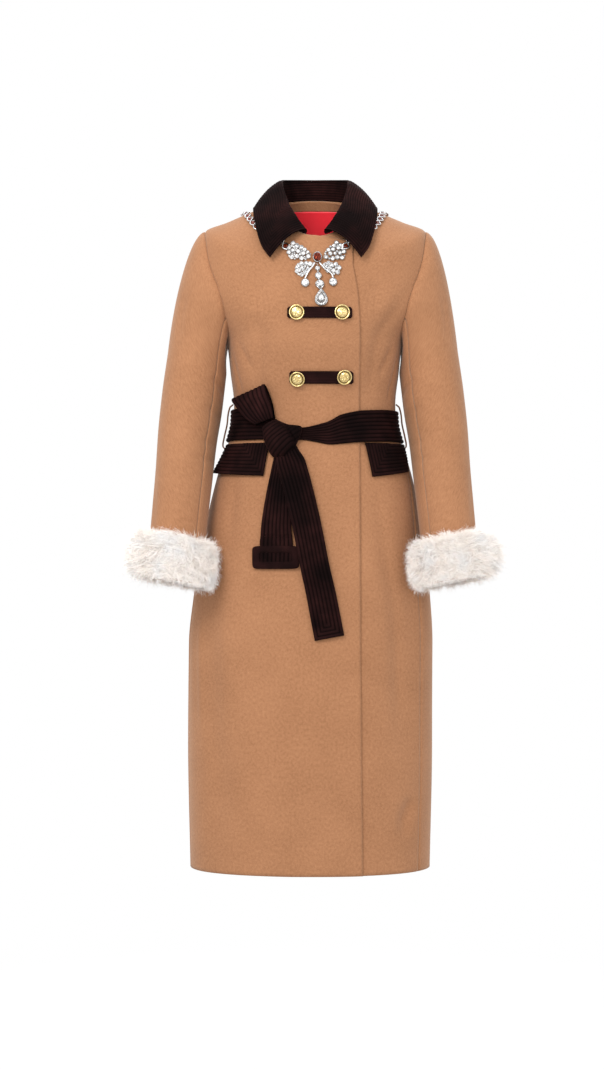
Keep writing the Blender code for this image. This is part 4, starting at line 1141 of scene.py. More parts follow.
@dataclass
class Body:
    """The coat's body in camel wool: two lapping fronts and the back, with its neck facing and lining."""

    finishes: Wardrobe
    skirt_rows: int = 132
    yoke_rows: int = 56
    columns_per_step: int = 6
    seam_depth: float = 1.0
    seam_reach: float = 2.4
    ripple_depth: float = 0.8
    facing_share: float = 0.84
    lining_wave: float = 0.35

    def shoulder(self, hand: Hand) -> list[Two]:
        """Return the places of a shoulder seam from the armhole to the neck."""
        return [(hand.value * SIDE, level) for level in np.linspace(SHOULDER_LEVEL, NECK_LEVEL, SHOULDER_STEPS + 1)]

    def pressed(self, points: Array, normals: Array, edges: Sequence[str]) -> Array:
        """Sink the cloth beside its pressed seams.

        Args:
            points: The panel's grid of points.
            normals: Outward normals at the points.
            edges: Names of the edges that are seams.

        Returns:
            The sunk points.
        """
        along, across = run_lengths(points, 0), run_lengths(points, 1)
        far = {"first_column": across, "last_column": across[:, -1:] - across, "last_row": along[-1:] - along}
        sunk = np.zeros(across.shape)
        for edge in edges:
            sunk = np.maximum(sunk, bell(far[edge], self.seam_reach))
        return points - normals * (sunk * self.seam_depth)[..., None]

    def cloth(self, angle: Array, level: Array, lift: Array | float, edges: Sequence[str]) -> Array:
        """Return a creased and rippled panel's points with its seams pressed.

        Args:
            angle: Angles of its grid.
            level: Levels of its grid.
            lift: How far it stands off the surface.
            edges: Names of the edges that are seams.

        Returns:
            Points.
        """
        ripple = np.sin(np.radians(angle) * 7 + level / 170) * np.sin(np.radians(angle) * 3 - level / 260)
        points = FORM.place(angle, level, lift - self.ripple_depth * (0.5 + 0.5 * ripple), creased=True)
        return self.pressed(points, FORM.normal(angle, level), edges)

    def make_front(self, hand: Hand, edge_x: Callable[[Array], Array], drop: Sequence[Two]) -> None:
        """Make one front. The wearer's right one laps over the other.

        Args:
            hand: The wearer's side.
            edge_x: The front edge's x at given levels.
            drop: Places, x and z, from the middle of the neck down to the top of the front edge.
        """
        neck = [(angle, NECK_LEVEL) for angle in np.linspace(hand.value * SIDE, 0, FRONT_NECK_STEPS + 1)[1:]]
        corners = [tuple(float(part) for part in FORM.front_place(x, z)) for x, z in drop]
        top = np.array(self.shoulder(hand) + neck + corners)

        def edge(levels: Array) -> Array:
            """Return the front edge's angles."""
            return FORM.angle_at(edge_x(levels), levels)

        def high_edge(heights: Array) -> Pair:
            """Return the front edge above the underarm."""
            levels = UNDERARM + (top[-1, 1] - UNDERARM) * heights
            return edge(levels), levels

        cut = PanelCut(lambda levels: FORM.seams.read(hand.word, levels), edge,
                       lambda heights: FORM.armhole_line(hand, "front", heights), high_edge, top)
        angle, level = cut.whole((len(top) - 1) * self.columns_per_step, self.skirt_rows, self.yoke_rows)
        lift = FORM.lap(angle, level) if hand is Hand.RIGHT else 0.0
        points = self.cloth(angle, level, lift, ("first_column", "last_row"))
        self.finishes.wool.sew(f"front_{hand.word}", points, FORWARD, "hung", ["back_cloth"])

    def back(self) -> None:
        """Make the back in one piece, with the facing and lining that show behind the neck."""
        neck = [(angle, NECK_LEVEL) for angle in np.linspace(SIDE, 360 - SIDE, BACK_NECK_STEPS + 1)[1:-1]]
        far_shoulder = [(360 + angle, level) for angle, level in reversed(self.shoulder(Hand.RIGHT))]
        top = np.array(self.shoulder(Hand.LEFT) + neck + far_shoulder)

        def far_armhole(heights: Array) -> Pair:
            """Return the wearer's right armhole, counted on from the left one."""
            angle, level = FORM.armhole_line(Hand.RIGHT, "back", heights)
            return 360 + angle, level

        steps = len(top) - 1
        cut = PanelCut(lambda levels: FORM.seams.read("left", levels),
                       lambda levels: 360 + FORM.seams.read("right", levels),
                       lambda heights: FORM.armhole_line(Hand.LEFT, "back", heights), far_armhole, top)
        angle, level = cut.whole(steps * self.columns_per_step, self.skirt_rows, self.yoke_rows)
        points = self.cloth(angle, level, 0.0, ("first_column", "last_column", "last_row"))
        self.finishes.wool.sew("back", points, BACKWARD, "hung", ["collar_stand_velvet"])

        shares = np.linspace(SHOULDER_STEPS / steps, 1 - SHOULDER_STEPS / steps, 61)
        row = 1 / ARMHOLE_STEPS
        joint = 1 - self.facing_share * row
        depth = -(WOOL + BACKING_GAP)
        angle, level = cut.yoke(shares, np.linspace(joint, 1 - 0.004 * row, 13))
        points = FORM.place(angle, level, depth)
        self.finishes.facing.sew("back_neck_facing", points, BACKWARD, "hung", ["back_cloth"])

        low = cut.skirt(shares, np.linspace(LINING_FOOT, UNDERARM, 25))
        high = cut.yoke(shares, np.linspace(0, joint - 0.01 * row, 60)[1:])
        angle, level = (np.concatenate(pair) for pair in zip(low, high))
        wave = self.lining_wave * np.sin(np.radians(angle) * 24 + level / 24) * smoothstep(NECK_LEVEL, 40, level)
        points = FORM.place(angle, level, depth - self.lining_wave + wave)
        self.finishes.lining.sew("back_lining", points, BACKWARD, "hung", ["back_neck_facing_wool"])

    def make(self) -> None:
        """Make the wearer's right front, the left front under it, and the back."""
        across, down = EDGE_TOP[0] - NECK_FRONT[0], EDGE_TOP[1] - NECK_FRONT[1]
        drop = [(NECK_FRONT[0] + across * t, NECK_FRONT[1] + down * t) for t in (1 / 3, 2 / 3, 1)]
        self.make_front(Hand.RIGHT, lambda levels: FORM.edge.read("x", levels), drop)
        self.make_front(Hand.LEFT, lambda levels: np.full(levels.shape, float(UNDERLAP_X)), [UNDERLAP_TOP])
        self.back()


@dataclass
class Sleeves:
    """The two-piece sleeves in camel wool, from the armholes down into the cuffs."""

    finishes: Wardrobe
    cap_rows: int = 36
    arm_rows: int = 84
    top_turn: float = 135.0
    cap_out: Two = (3, 20)
    cap_ahead: float = 9
    cap_drop: Two = (13, 11)
    cap_in: float = 11
    cap_rise: Two = (18, 82)
    middle_x: float = 215.0
    head_swell: float = 0.9
    seam_depth: float = 0.9
    seam_reach: float = 2.2
    tucks: Rows = ((4.0, 0.8), (1.6, 0.5), (-0.1, 0.1))
    table: SmoothTable = field(default_factory=lambda: SmoothTable(
        ("z", "outer_x", "inner_x", "centre_y", "half_depth", "tilt", "lean"), SLEEVE))
    creases: Rows = (
        (128, -300, 176, -332, 7, 2.4), (120, -352, 170, -372, 7, 1.8), (96, -398, 168, -420, 8, 2.2),
        (104, -436, 170, -446, 7, 1.8), (60, -466, 118, -474, 9, 1.2), (70, -300, 60, -420, 10, 1.4),
        (40, -150, 52, -240, 9, 1.4), (300, -330, 236, -360, 8, 1.8), (290, -420, 226, -444, 8, 2.0),
        (20, -470, 36, -600, 9, 1.2),
    )

    def point(self, hand: Hand, turn: Array, z: Array) -> Array:
        """Return points of a sleeve's outer surface.

        Args:
            hand: Which sleeve.
            turn: Angles round it, 0 outside, 90 in front and 180 against the body.
            z: Heights.

        Returns:
            Points.
        """
        turn, z = spread(turn, z)
        cosine, sine = np.cos(np.radians(turn)), np.sin(np.radians(turn))
        read = self.table.read
        outer, inner = read("outer_x", z), read("inner_x", z)
        x = (outer + inner) / 2 + (outer - inner) / 2 * cosine
        y = read("centre_y", z) - read("half_depth", z) * sine
        rise = read("tilt", z) * cosine + read("lean", z) * sine
        return np.stack((hand.value * x, y, z + rise), axis=-1)

    def armhole(self, hand: Hand, turn: Array) -> Pair:
        """Return an armhole's points and their normals.

        Args:
            hand: Which sleeve.
            turn: Angles round the sleeve.

        Returns:
            Points and outward normals of the body.
        """
        turn = np.asarray(turn, float) % 360
        ahead = turn <= 180
        share = np.where(ahead, 1 - turn / 180, turn / 180 - 1)
        front, level = FORM.armhole_line(hand, "front", share)
        angle = np.where(ahead, front, FORM.armhole_line(hand, "back", share)[0])
        return FORM.place(angle, level), FORM.normal(angle, level)

    def grid(self, hand: Hand, turns: Array) -> Array:
        """Return a sleeve's points, from the armhole down, at angles round it.

        Args:
            hand: Which sleeve.
            turns: Angles round the sleeve.

        Returns:
            Rows and columns of points.
        """
        ring, _ = self.armhole(hand, np.arange(0, 360, 22.5))
        start, normals = self.armhole(hand, turns)
        towards = ring.mean(axis=0) - start
        inward = unit(towards - normals * np.sum(towards * normals, axis=-1, keepdims=True))
        start = start + inward * 2 * HALF_SEAM + normals * SEAT_GAP
        cosine, sine = np.cos(np.radians(turns)), np.sin(np.radians(turns))
        share = (1 + cosine) / 2
        zero = np.zeros(turns.shape)
        end = self.point(hand, turns, CAP_REACH_Z)
        out = self.cap_out[0] + self.cap_out[1] * share
        drop = -self.cap_drop[0] + self.cap_drop[1] * share
        first = start + np.stack((hand.value * out, -self.cap_ahead * sine, drop), axis=-1)
        rise = self.cap_rise[0] + self.cap_rise[1] * share
        second = end + np.stack((-hand.value * self.cap_in * share, zero, rise), axis=-1)
        t = np.linspace(0, 1, self.cap_rows + 1)[:-1, None, None]
        cap = start * (1 - t) ** 3 + first * 3 * t * (1 - t) ** 2 + second * 3 * t * t * (1 - t) + end * t ** 3
        z = np.linspace(CAP_REACH_Z, SLEEVE_HEM_Z, self.arm_rows + 1)[:, None]
        points = self.settled(hand, np.concatenate((cap, self.point(hand, turns[None, :], z))), turns)
        tucks = [start - inward * out - normals * (WOOL + down) for out, down in self.tucks]
        return np.concatenate((np.stack(tucks), points))

    def settled(self, hand: Hand, points: Array, turns: Array) -> Array:
        """Sink the creases into the cloth and press its seams.

        Args:
            hand: Which sleeve.
            points: Its grid of points.
            turns: The columns' angles round the sleeve.

        Returns:
            The sunk points.
        """
        centre = points.mean(axis=1, keepdims=True)
        centre[..., 0] = hand.value * self.middle_x
        down, around = np.gradient(points, axis=0), np.gradient(points, axis=1)
        normals = unit(np.cross(down, around))
        facing = np.sign(np.sum(normals * (points - centre), axis=-1, keepdims=True))
        normals = normals * np.where(np.median(facing) < 0, -1.0, 1.0)
        depth = trough_depth(turns[None, :], points[..., 2], self.creases, 1.0)
        from_head = run_lengths(points, 0)
        head = -self.head_swell * bell(from_head - 8, 5)
        across = run_lengths(points, 1)
        seam = bell(np.minimum(across, across[:, -1:] - across), self.seam_reach)
        sunk = depth * smoothstep(0, 30, from_head) + (np.maximum(head, seam) * self.seam_depth)
        return points - normals * sunk[..., None]

    def make(self) -> None:
        """Make the top and under pieces of both sleeves."""
        for hand in Hand:
            for name, low, high, columns, side in (("sleeve_top", -self.top_turn, self.top_turn, 84, 1),
                                                   ("sleeve_under", self.top_turn, 360 - self.top_turn, 28, -1)):
                points = self.grid(hand, np.linspace(low, high, columns + 1))
                away = np.array((hand.value * side, 0, 0))
                self.finishes.wool.sew(f"{name}_{hand.word}", points, away, "hung", ["back_cloth"])


@dataclass
class FurCuffs:
    """Cream fur cuffs: a pelt ring under many fine tapered strands drawn together into tufts."""

    finishes: Wardrobe
    sleeves: Sleeves
    centre: Three = (241, -90, -614)
    half_width: float = 80
    half_depth: float = 66
    half_height: float = 43
    bore_clearance: float = 1.3
    body_clearance: float = 1.2
    pelt_clearance: float = 9.0
    roundness: float = 0.8
    pelt_share: float = 0.56
    pelt_swell: float = 0.80
    strands: int = 31000
    tufts: int = 1300
    tuft_pull: float = 0.62
    tuft_spread: Two = (6.0, 10.0)
    tuft_sway: float = 10.0
    tuft_lean: Two = (-4.0, 11.0)
    tip_reach: float = 0.95
    tip_unevenness: Two = (0.07, 0.05)
    reach_limits: Two = (0.7, 1.38)
    swell_limits: Two = (0.8, 1.32)
    wisp_share: float = 0.20
    wisp_reach: Two = (0.03, 0.42)
    curl: float = 1.6
    strand_width: float = 0.56
    strand_levels: tuple[float, ...] = (0.0, 0.34, 0.68, 1.0)
    strand_taper: tuple[float, ...] = (1.0, 0.86, 0.55, 0.0)
    seed: int = 11

    def point(self, hand: Hand, turn: Array, tilt: Array, fullness: Array | float, swell: Array | float,
              clearance: Array | float) -> Array:
        """Return points in the fur at a share of its fullness.

        Args:
            hand: Which cuff.
            turn: Angles round the wrist.
            tilt: Angles over the cuff's rounded side, from its foot to its top.
            fullness: Share of the fur's depth, 1 at the solid's surface.
            swell: Share of the fur's height.
            clearance: Least gap to the skirt.

        Returns:
            Points.
        """
        turn, tilt = spread(turn, tilt)
        phi, theta = np.radians(turn), np.radians(tilt)
        middle = self.centre[2]
        base = self.sleeves.point(hand, turn, middle)
        rim = np.stack((hand.value * (self.centre[0] + self.half_width * np.cos(phi)),
                        self.centre[1] - self.half_depth * np.sin(phi), base[..., 2]), axis=-1)
        away = unit(np.stack((hand.value * self.half_width * np.cos(phi), -self.half_depth * np.sin(phi),
                              np.zeros(phi.shape)), axis=-1)) * self.bore_clearance
        height = signed_power(np.sin(theta), 0.75) * self.half_height * swell
        depth = np.abs(np.cos(theta)) ** self.roundness * fullness
        found = self.sleeves.point(hand, turn, middle + height) + away + (rim - base) * depth[..., None]
        return self.clear_of_skirt(found, hand, clearance)

    def clear_of_skirt(self, points: Array, hand: Hand, clearance: Array | float) -> Array:
        """Move points sideways until they stand clear of the skirt.

        Args:
            points: Points.
            hand: Which cuff they belong to.
            clearance: Least gap to the skirt.

        Returns:
            The moved points.
        """
        read = FORM.rings.read
        z = points[..., 2]
        centre = read("centre_y", z)
        side = np.where(points[..., 1] < centre, read("front", z), read("back", z))
        share = np.clip(np.abs(points[..., 1] - centre) / side, 0, 1)
        reach = read("half_width", z) * (1 - share ** SQUARENESS) ** (1 / SQUARENESS)
        least = reach + hand.value * read("centre_x", z) + clearance
        moved = points.copy()
        moved[..., 0] = hand.value * np.maximum(hand.value * points[..., 0], np.where(share < 1, least, -1e9))
        return moved

    def pelt(self, hand: Hand) -> Array:
        """Return the pelt under the fur, with its bore closed behind.

        Args:
            hand: Which cuff.

        Returns:
            Rows and columns of points.
        """
        turns = np.linspace(0, 360, 97)
        tilts = np.linspace(-90, 90, 37)
        outer = self.point(hand, turns[None, :], tilts[:, None], self.pelt_share, self.pelt_swell, self.pelt_clearance)
        middle, half = self.centre[2], self.half_height * self.pelt_swell
        heights = np.linspace(middle + half, middle - half, 5)[1:-1]
        bore = self.sleeves.point(hand, turns[None, :], heights[:, None])
        bore = bore + unit(bore - bore.mean(axis=1, keepdims=True)) * self.bore_clearance
        return np.concatenate((outer, bore, outer[:1]))

    def hair(self, hand: Hand, chance: np.random.Generator) -> Object:
        """Grow the strands of one cuff.

        Args:
            hand: Which cuff.
            chance: The seeded source of their unevenness.

        Returns:
            One mesh of all the strands.
        """
        count, tufts = self.strands, self.tufts
        tuft_turn = chance.uniform(0, 360, tufts)
        tuft_tilt = np.degrees(np.arcsin(chance.uniform(-0.99, 0.99, tufts)))
        pick = chance.integers(0, tufts, count)
        turn = tuft_turn[pick] + chance.normal(0, self.tuft_spread[0], count)
        tilt = np.clip(tuft_tilt[pick] + chance.normal(0, self.tuft_spread[1], count), -88, 88)
        root = self.point(hand, turn, tilt, self.pelt_share - 0.06, self.pelt_swell - 0.03, self.pelt_clearance)
        sway = chance.normal(0, self.tuft_sway, tufts)[pick]
        lean = chance.normal(*self.tuft_lean, tufts)[pick]
        uneven, ragged = self.tip_unevenness
        reach = self.tip_reach + chance.normal(0, uneven, tufts)[pick] + chance.normal(0, ragged, count)
        wisp = chance.random(count) < self.wisp_share
        reach = np.where(wisp, reach + chance.uniform(*self.wisp_reach, count), reach)
        swell = 0.97 + chance.normal(0, ragged, tufts)[pick] + np.where(wisp, 0.5 * (reach - self.tip_reach), 0.0)
        tip_turn = tuft_turn[pick] + (turn - tuft_turn[pick]) * self.tuft_pull + sway
        tip_tilt = np.clip(tuft_tilt[pick] + (tilt - tuft_tilt[pick]) * self.tuft_pull + lean, -89, 89)
        tip = self.point(hand, tip_turn, tip_tilt, np.clip(reach, *self.reach_limits),
                         np.clip(swell, *self.swell_limits), self.body_clearance + chance.uniform(0, 9, count))
        middle = self.point(hand, turn + sway * 0.2, np.clip(tilt + lean * 0.2, -89, 89),
                            (self.pelt_share + reach) / 2 + 0.05, (self.pelt_swell + swell) / 2 + 0.03,
                            self.body_clearance + 3)
        side = unit(np.cross(unit(tip - root), chance.normal(0, 1, (count, 3))))
        curl = side * chance.normal(0, self.curl, count)[:, None]
        edges = []
        for t, taper in zip(self.strand_levels, self.strand_taper):
            centre = root * (1 - t) ** 2 + (middle + curl) * 2 * t * (1 - t) + tip * t * t
            edges += [centre - side * (taper * self.strand_width / 2), centre + side * (taper * self.strand_width / 2)]
        each = 2 * len(self.strand_levels) - 1
        corners = np.stack(edges[:each], axis=1)
        base = np.arange(count)[:, None] * each
        quads = np.concatenate([base + np.array(face) for face in ((0, 1, 3, 2), (2, 3, 5, 4))])
        tips = base + np.array((4, 5, 6))
        mesh = bpy.data.meshes.new(f"fur_{hand.word}")
        mesh.from_pydata((corners.reshape(-1, 3) * MM).tolist(), [], quads.tolist() + tips.tolist())
        along = np.tile(np.repeat(self.strand_levels, 2)[:each], count)
        lay_map(mesh, paired(np.repeat(chance.random(count), each), along))
        return mesh_object(f"fur_strands_{hand.word}", mesh)

    def make(self) -> None:
        """Make both cuffs."""
        chance = np.random.default_rng(self.seed)
        for hand in Hand:
            piece = sheet_mesh(f"fur_pelt_{hand.word}", self.pelt(hand), FORWARD, closed=True)
            finish_piece(piece, self.finishes.fur, f"fur_cuff_{hand.word}")
            finish_piece(self.hair(hand, chance), self.finishes.fur)


@dataclass
class Collar:
    """The velvet collar: a stand round the neck and a leaf turned down over it, sewn in mitred rows."""

    finishes: Wardrobe
    pitch: float = 4.5
    row_height: float = 1.25
    bead_height: float = 0.7
    stand_row_height: float = 0.35
    end_run: float = 0.30
    end_columns: int = 56
    middle_columns: int = 64
    leaf_rows: int = 72
    stand_drop: float = 3.4
    lips: Rows = ((3.0, 2.9), (2.7, 1.2), (1.6, 0.2))
    table: SmoothTable = field(default_factory=lambda: SmoothTable(
        ("share", "fold_x", "fold_y", "fold_z", "edge_x", "edge_y", "edge_z", "rise_x", "rise_y", "rise_z"), COLLAR))

    def line(self, prefix: str, run: Array) -> Array:
        """Return one of the collar's lines.

        Args:
            prefix: fold, rise or edge.
            run: 0 at the wearer's right front end, 1 at the middle of the back and 2 at the left end.

        Returns:
            Points.
        """
        points = self.table.point(prefix, np.where(run > 1, 2 - run, run))
        points[..., 0] = np.where(run > 1, -points[..., 0], points[..., 0]) + COLLAR_MIDDLE_X
        return points

    def outward(self, run: Array) -> Array:
        """Return level directions that point away from the neck along the fold.

        Args:
            run: Places along the collar.

        Returns:
            Unit vectors.
        """
        along = self.line("fold", np.minimum(run + 0.02, 2)) - self.line("fold", np.maximum(run - 0.02, 0))
        across = unit(np.stack((along[..., 1], -along[..., 0], np.zeros(run.shape)), axis=-1))
        away = self.line("fold", run) - np.array((COLLAR_MIDDLE_X, 0, 0))
        return across * np.sign(np.sum(across[..., :2] * away[..., :2], axis=-1, keepdims=True))

    def runs(self) -> Array:
        """Return stations along the collar, close together at its front ends."""
        end = np.linspace(0, self.end_run, self.end_columns + 1)
        return np.concatenate((end[:-1], np.linspace(self.end_run, 2 - self.end_run, self.middle_columns + 1),
                               (2 - end)[-2::-1]))

    def leaf(self) -> None:
        """Make the turned-down leaf with its rows parallel to the outer and front edges."""
        run = self.runs()
        fold, rise, edge = (self.line(name, run) for name in ("fold", "rise", "edge"))
        bend = rise * 2 - (fold + edge) / 2
        t = np.linspace(0, 1, self.leaf_rows + 1)[:, None, None]
        curve = fold * (1 - t) ** 2 + bend * 2 * t * (1 - t) + edge * t * t
        out, up = self.outward(run), UPWARD
        lips = [fold - out * inner - up * down for inner, down in self.lips]
        points = np.concatenate((np.stack(lips), curve))
        down, around = np.gradient(points, axis=0), np.gradient(points, axis=1)
        normals = unit(np.cross(around, down))
        normals = normals * np.sign(np.sum(normals * (out + up), axis=-1, keepdims=True))
        along, across = run_lengths(points, 0), run_lengths(points, 1)
        to_edge = along[-1:] - along
        to_front = np.minimum(across, across[:, -1:] - across)
        inset = np.minimum(to_edge, to_front)
        fade = smoothstep(0, 7, along - along[2:3]) * smoothstep(0, 1.2, inset)
        bead = self.bead_height * bell(inset - 1.0, 1.0)
        points = points + normals * (ridge(inset, self.pitch, self.row_height) * fade + bead)[..., None]
        row_run = np.where(to_edge < to_front, across, along)
        self.finishes.collar.sew("collar_leaf", points, np.array((0.0, 1.0, 0.3)), "folded", ["collar_stand_velvet"],
                                 paired(row_run, inset))

    def stand(self) -> None:
        """Make the stand between the neck seam and the fold."""
        run = np.linspace(0, 2, 129)
        fold, out = self.line("fold", run), self.outward(run)
        angles = np.linspace(-180, 180, 2881)
        ring = FORM.place(angles, NECK_LEVEL)
        gaps = np.linalg.norm(ring[None, :, :2] - fold[:, None, :2], axis=-1)
        nearest = np.unwrap(np.radians(angles[gaps.argmin(axis=1)]))
        padded = np.concatenate((np.full(4, nearest[0]), nearest, np.full(4, nearest[-1])))
        angle = np.degrees(np.convolve(padded, np.full(9, 1 / 9), "valid"))
        foot = FORM.place(angle, NECK_LEVEL)
        foot = foot + unit(foot - FORM.place(angle, NECK_LEVEL - 4.0)) * 3 * HALF_SEAM
        top = fold - UPWARD * self.stand_drop
        t = np.linspace(0, 1, 25)[:, None, None]
        points = foot * (1 - t) + top * t
        height = run_lengths(points, 0)
        rows = ridge(height, self.pitch, self.stand_row_height) * smoothstep(0, 2, height)
        points = points + out * rows[..., None]
        self.finishes.collar.sew("collar_stand", points, BACKWARD, "hung", ["back_cloth"],
                                 paired(run_lengths(points, 1), height))

    def make(self) -> None:
        """Make the stand and the leaf."""
        self.stand()
        self.leaf()


@dataclass
class Belt:
    """The ribbed velvet belt, tied in a half bow, with its tails, covered buckle and carriers."""

    finishes: Wardrobe
    channels: int = 8
    channel_width: float = 7.0
    row_height: float = 1.7
    roll_depth: float = 0.9
    roll_start: float = 0.965
    seam_depth: float = 1.3
    seam_reach: float = 1.1
    slack_depth: float = 0.8
    wave_depth: float = 0.8
    pleat_depth: float = 1.1
    puff: Two = (2.6, 1.2)
    samples: int = 6
    band: Rows = (
        (-180, -386, 28), (-60, -382, 28), (-36, -383, 27), (-22, -394, 17), (-6, -401, 11), (5, -400, 19),
        (16, -392, 26), (32, -387, 28), (60, -385, 28), (180, -386, 28))
    front_tail: Rows = (
        (-48, -416, 15, 6.4), (-42, -437, 20, 6.4), (-36, -455, 24, 5.8), (-26, -490, 24, 5.4),
        (-13, -545, 24, 6.4), (-6, -580, 24, 7.8), (3, -628, 24, 7.6), (12, -668, 24.5, 3.0),
        (23, -725, 25, 1.2), (27, -746, 25, 1.2))
    back_tail: Rows = (
        (-50, -440, 15, 2.2), (-52, -458, 17, 1.4), (-57, -500, 21, 1.2), (-60, -535, 24, 1.2),
        (-62, -565, 26, 1.2), (-62, -588.5, 28, 1.4), (-63, -622, 28, 0.4))
    loop_root: Two = (-66, -402)
    loop_end: Two = (-106, -319)
    loop: Rows = (
        (25, 17, 16), (35, 18.5, 20), (46, 19, 23), (68, 18, 26), (80, 15.5, 28), (84, 12, 28), (80, 9, 28),
        (60, 8.4, 26), (42, 8.2, 22), (25, 8.6, 17))
    knot_outline: Rows = (
        (-83, -388), (-63, -374), (-44, -385), (-17, -388), (-20, -406), (-34, -434), (-50, -443), (-67, -443),
        (-80, -418))
    knot_crease: Rows = ((-46, -386), (-27, -424))
    knot_base: float = 7.2
    knot_height: float = 20.5
    knot_pitch: float = 6.4
    knot_slant: Two = (0.70, 0.72)
    knot_row_height: float = 1.5
    knot_fold_pitch: float = 6.0
    knot_fold_drop: float = 3.5
    groove_depth: float = 5.0
    groove_reach: float = 3.0
    buckle_centre: Two = (-63, -610)
    buckle_half_size: Two = (39.5, 19.5)
    buckle_half_slot: Two = (27, 7.5)
    carrier: Rows = ((-343, 0.4), (-349, 6.4), (-366, 9.5), (-390, 10.0), (-412, 8.6), (-420, 5.8), (-423, 0.5))
    carrier_angle: float = 93
    carrier_half_width: float = 1.7

    @property
    def width(self) -> float:
        """Return the belt's width over its channels."""
        return self.channels * self.channel_width

    def across(self) -> Array:
        """Return shares across the belt, from -1 to 1."""
        return np.linspace(-1, 1, self.channels * self.samples + 1)

    def relief(self, share: Array, inset: Array | None = None) -> Array:
        """Return the height of the sewn channels, with the belt's edges rolled under.

        Args:
            share: Shares across the belt.
            inset: Distances from the edge where the rows start, or None to count from the first edge.

        Returns:
            Heights.
        """
        inset = (share + 1) / 2 * self.width if inset is None else inset
        rolled = self.roll_depth * smoothstep(self.roll_start, 1.0, np.abs(share))
        return ridge(inset, self.channel_width, self.row_height) - rolled

    def pattern(self, along: Array, share: Array) -> Array:
        """Return the pattern's coordinates from the run of the belt and shares across it."""
        return paired(along, (share + 1) / 2 * self.width)

    def lift(self, angle: Array, level: Array) -> Array:
        """Return the lift of the band's inner face, which steps over the front edge.

        Args:
            angle: Angles round the body.
            level: Levels of the band's middle.

        Returns:
            Lifts.
        """
        x = FORM.bare(angle, level)[..., 0]
        step = FRONT_LAP * smoothstep(-112, -50, x) * smoothstep(140, 86, x)
        return BAND_CLEARANCE + np.where(np.cos(np.radians(angle)) > 0, step, 0.0)

    def make_band(self) -> None:
        """Make the band round the waist, gathered where the knot holds it."""
        table = SmoothTable(("angle", "z", "half"), self.band)
        share = self.across()[:, None]
        angle = np.linspace(-180, 180, 241)[None, :] + 0 * share
        middle = table.read("z", angle)
        level = middle + table.read("half", angle) * share
        slack = self.slack_depth * np.sin(np.radians(angle) * 9 + share * 2) * smoothstep(60, 20, np.abs(angle + 5))
        points = FORM.place(angle, level, self.lift(angle, middle) + VELVET + self.relief(share) + slack)
        self.finishes.belt.sew("belt_band", points, FORWARD, "gathered",
                               ["front_right_cloth", "belt_carrier_left_wool"],
                               self.pattern(run_lengths(points, 1), share), closed=True)

    def make_tail(self, name: str, rows: Sequence[Sequence[float]], stations: int, crease: float,
                  seams: Sequence[float], turned: bool) -> None:
        """Make one hanging tail.

        Args:
            name: The solid that it stands for.
            rows: Places down its middle: x, z, half width and lift.
            stations: Steps along it.
            crease: Height of the soft fold that the knot leaves in its top.
            seams: Heights of the seams sewn across it.
            turned: Whether its rows turn round its foot.
        """
        places = np.array(rows, float)
        run = run_lengths(places[:, :2], 0)
        table = SmoothTable(("run", "x", "z", "half", "lift"), np.column_stack((run, places)).tolist())
        s = np.linspace(0, run[-1], stations + 1)[:, None]
        share = self.across()[None, :]
        half = table.read("half", s)
        x, z = table.beside(("x", "z"), s, 2, share * half)
        inset = (1 - np.abs(share)) / 2 * self.width + 0 * s
        if turned:
            inset = np.minimum(inset, (run[-1] - s) * self.width / (2 * half))
        relief = self.relief(share, inset)
        for seam in seams:
            relief = relief - self.seam_depth * bell(table.read("z", s) - seam, self.seam_reach)
        fold = crease * bell(share - 0.15, 0.28) * smoothstep(90, 10, s)
        wave = self.wave_depth * np.sin(s / 38 + share * 1.3) * smoothstep(20, 90, s) * smoothstep(0, 40, run[-1] - s)
        points = FORM.on_front(x, z, table.read("lift", s) + VELVET + relief + fold + wave + 0.5)
        self.finishes.belt.sew(name, points, FORWARD, "hung", ["belt_knot_velvet"], paired(s, inset))

    def make_loop(self) -> None:
        """Make the half bow: it leaves the knot, turns over at its top and comes back."""
        table = SmoothTable(("step", "along", "lift", "half"), [(i, *row) for i, row in enumerate(self.loop)])
        root = np.array(self.loop_root, float)
        way = unit(np.array(self.loop_end) - root)
        step = np.linspace(0, len(self.loop) - 1, 91)[:, None]
        share = self.across()[None, :]
        along, lift = table.beside(("along", "lift"), step, 0.1, VELVET / 2 + self.relief(share))
        puff = (self.puff[0] * (1 - share ** 2) - self.puff[1]) * smoothstep(4.8, 3.6, step)
        pleat = self.pleat_depth * np.sin(share * 9) * smoothstep(2.2, 0, step)
        offset = share * table.read("half", step)
        points = FORM.on_front(root[0] + way[0] * along - way[1] * offset,
                               root[1] + way[1] * along + way[0] * offset, lift + puff + pleat)
        run = run_lengths(paired(table.read("along", step), table.read("lift", step)), 0)
        self.finishes.belt.sew("belt_loop", points, np.array((0.0, 0.2, 1.0)), "folded", ["belt_knot_velvet"],
                               self.pattern(run, share))

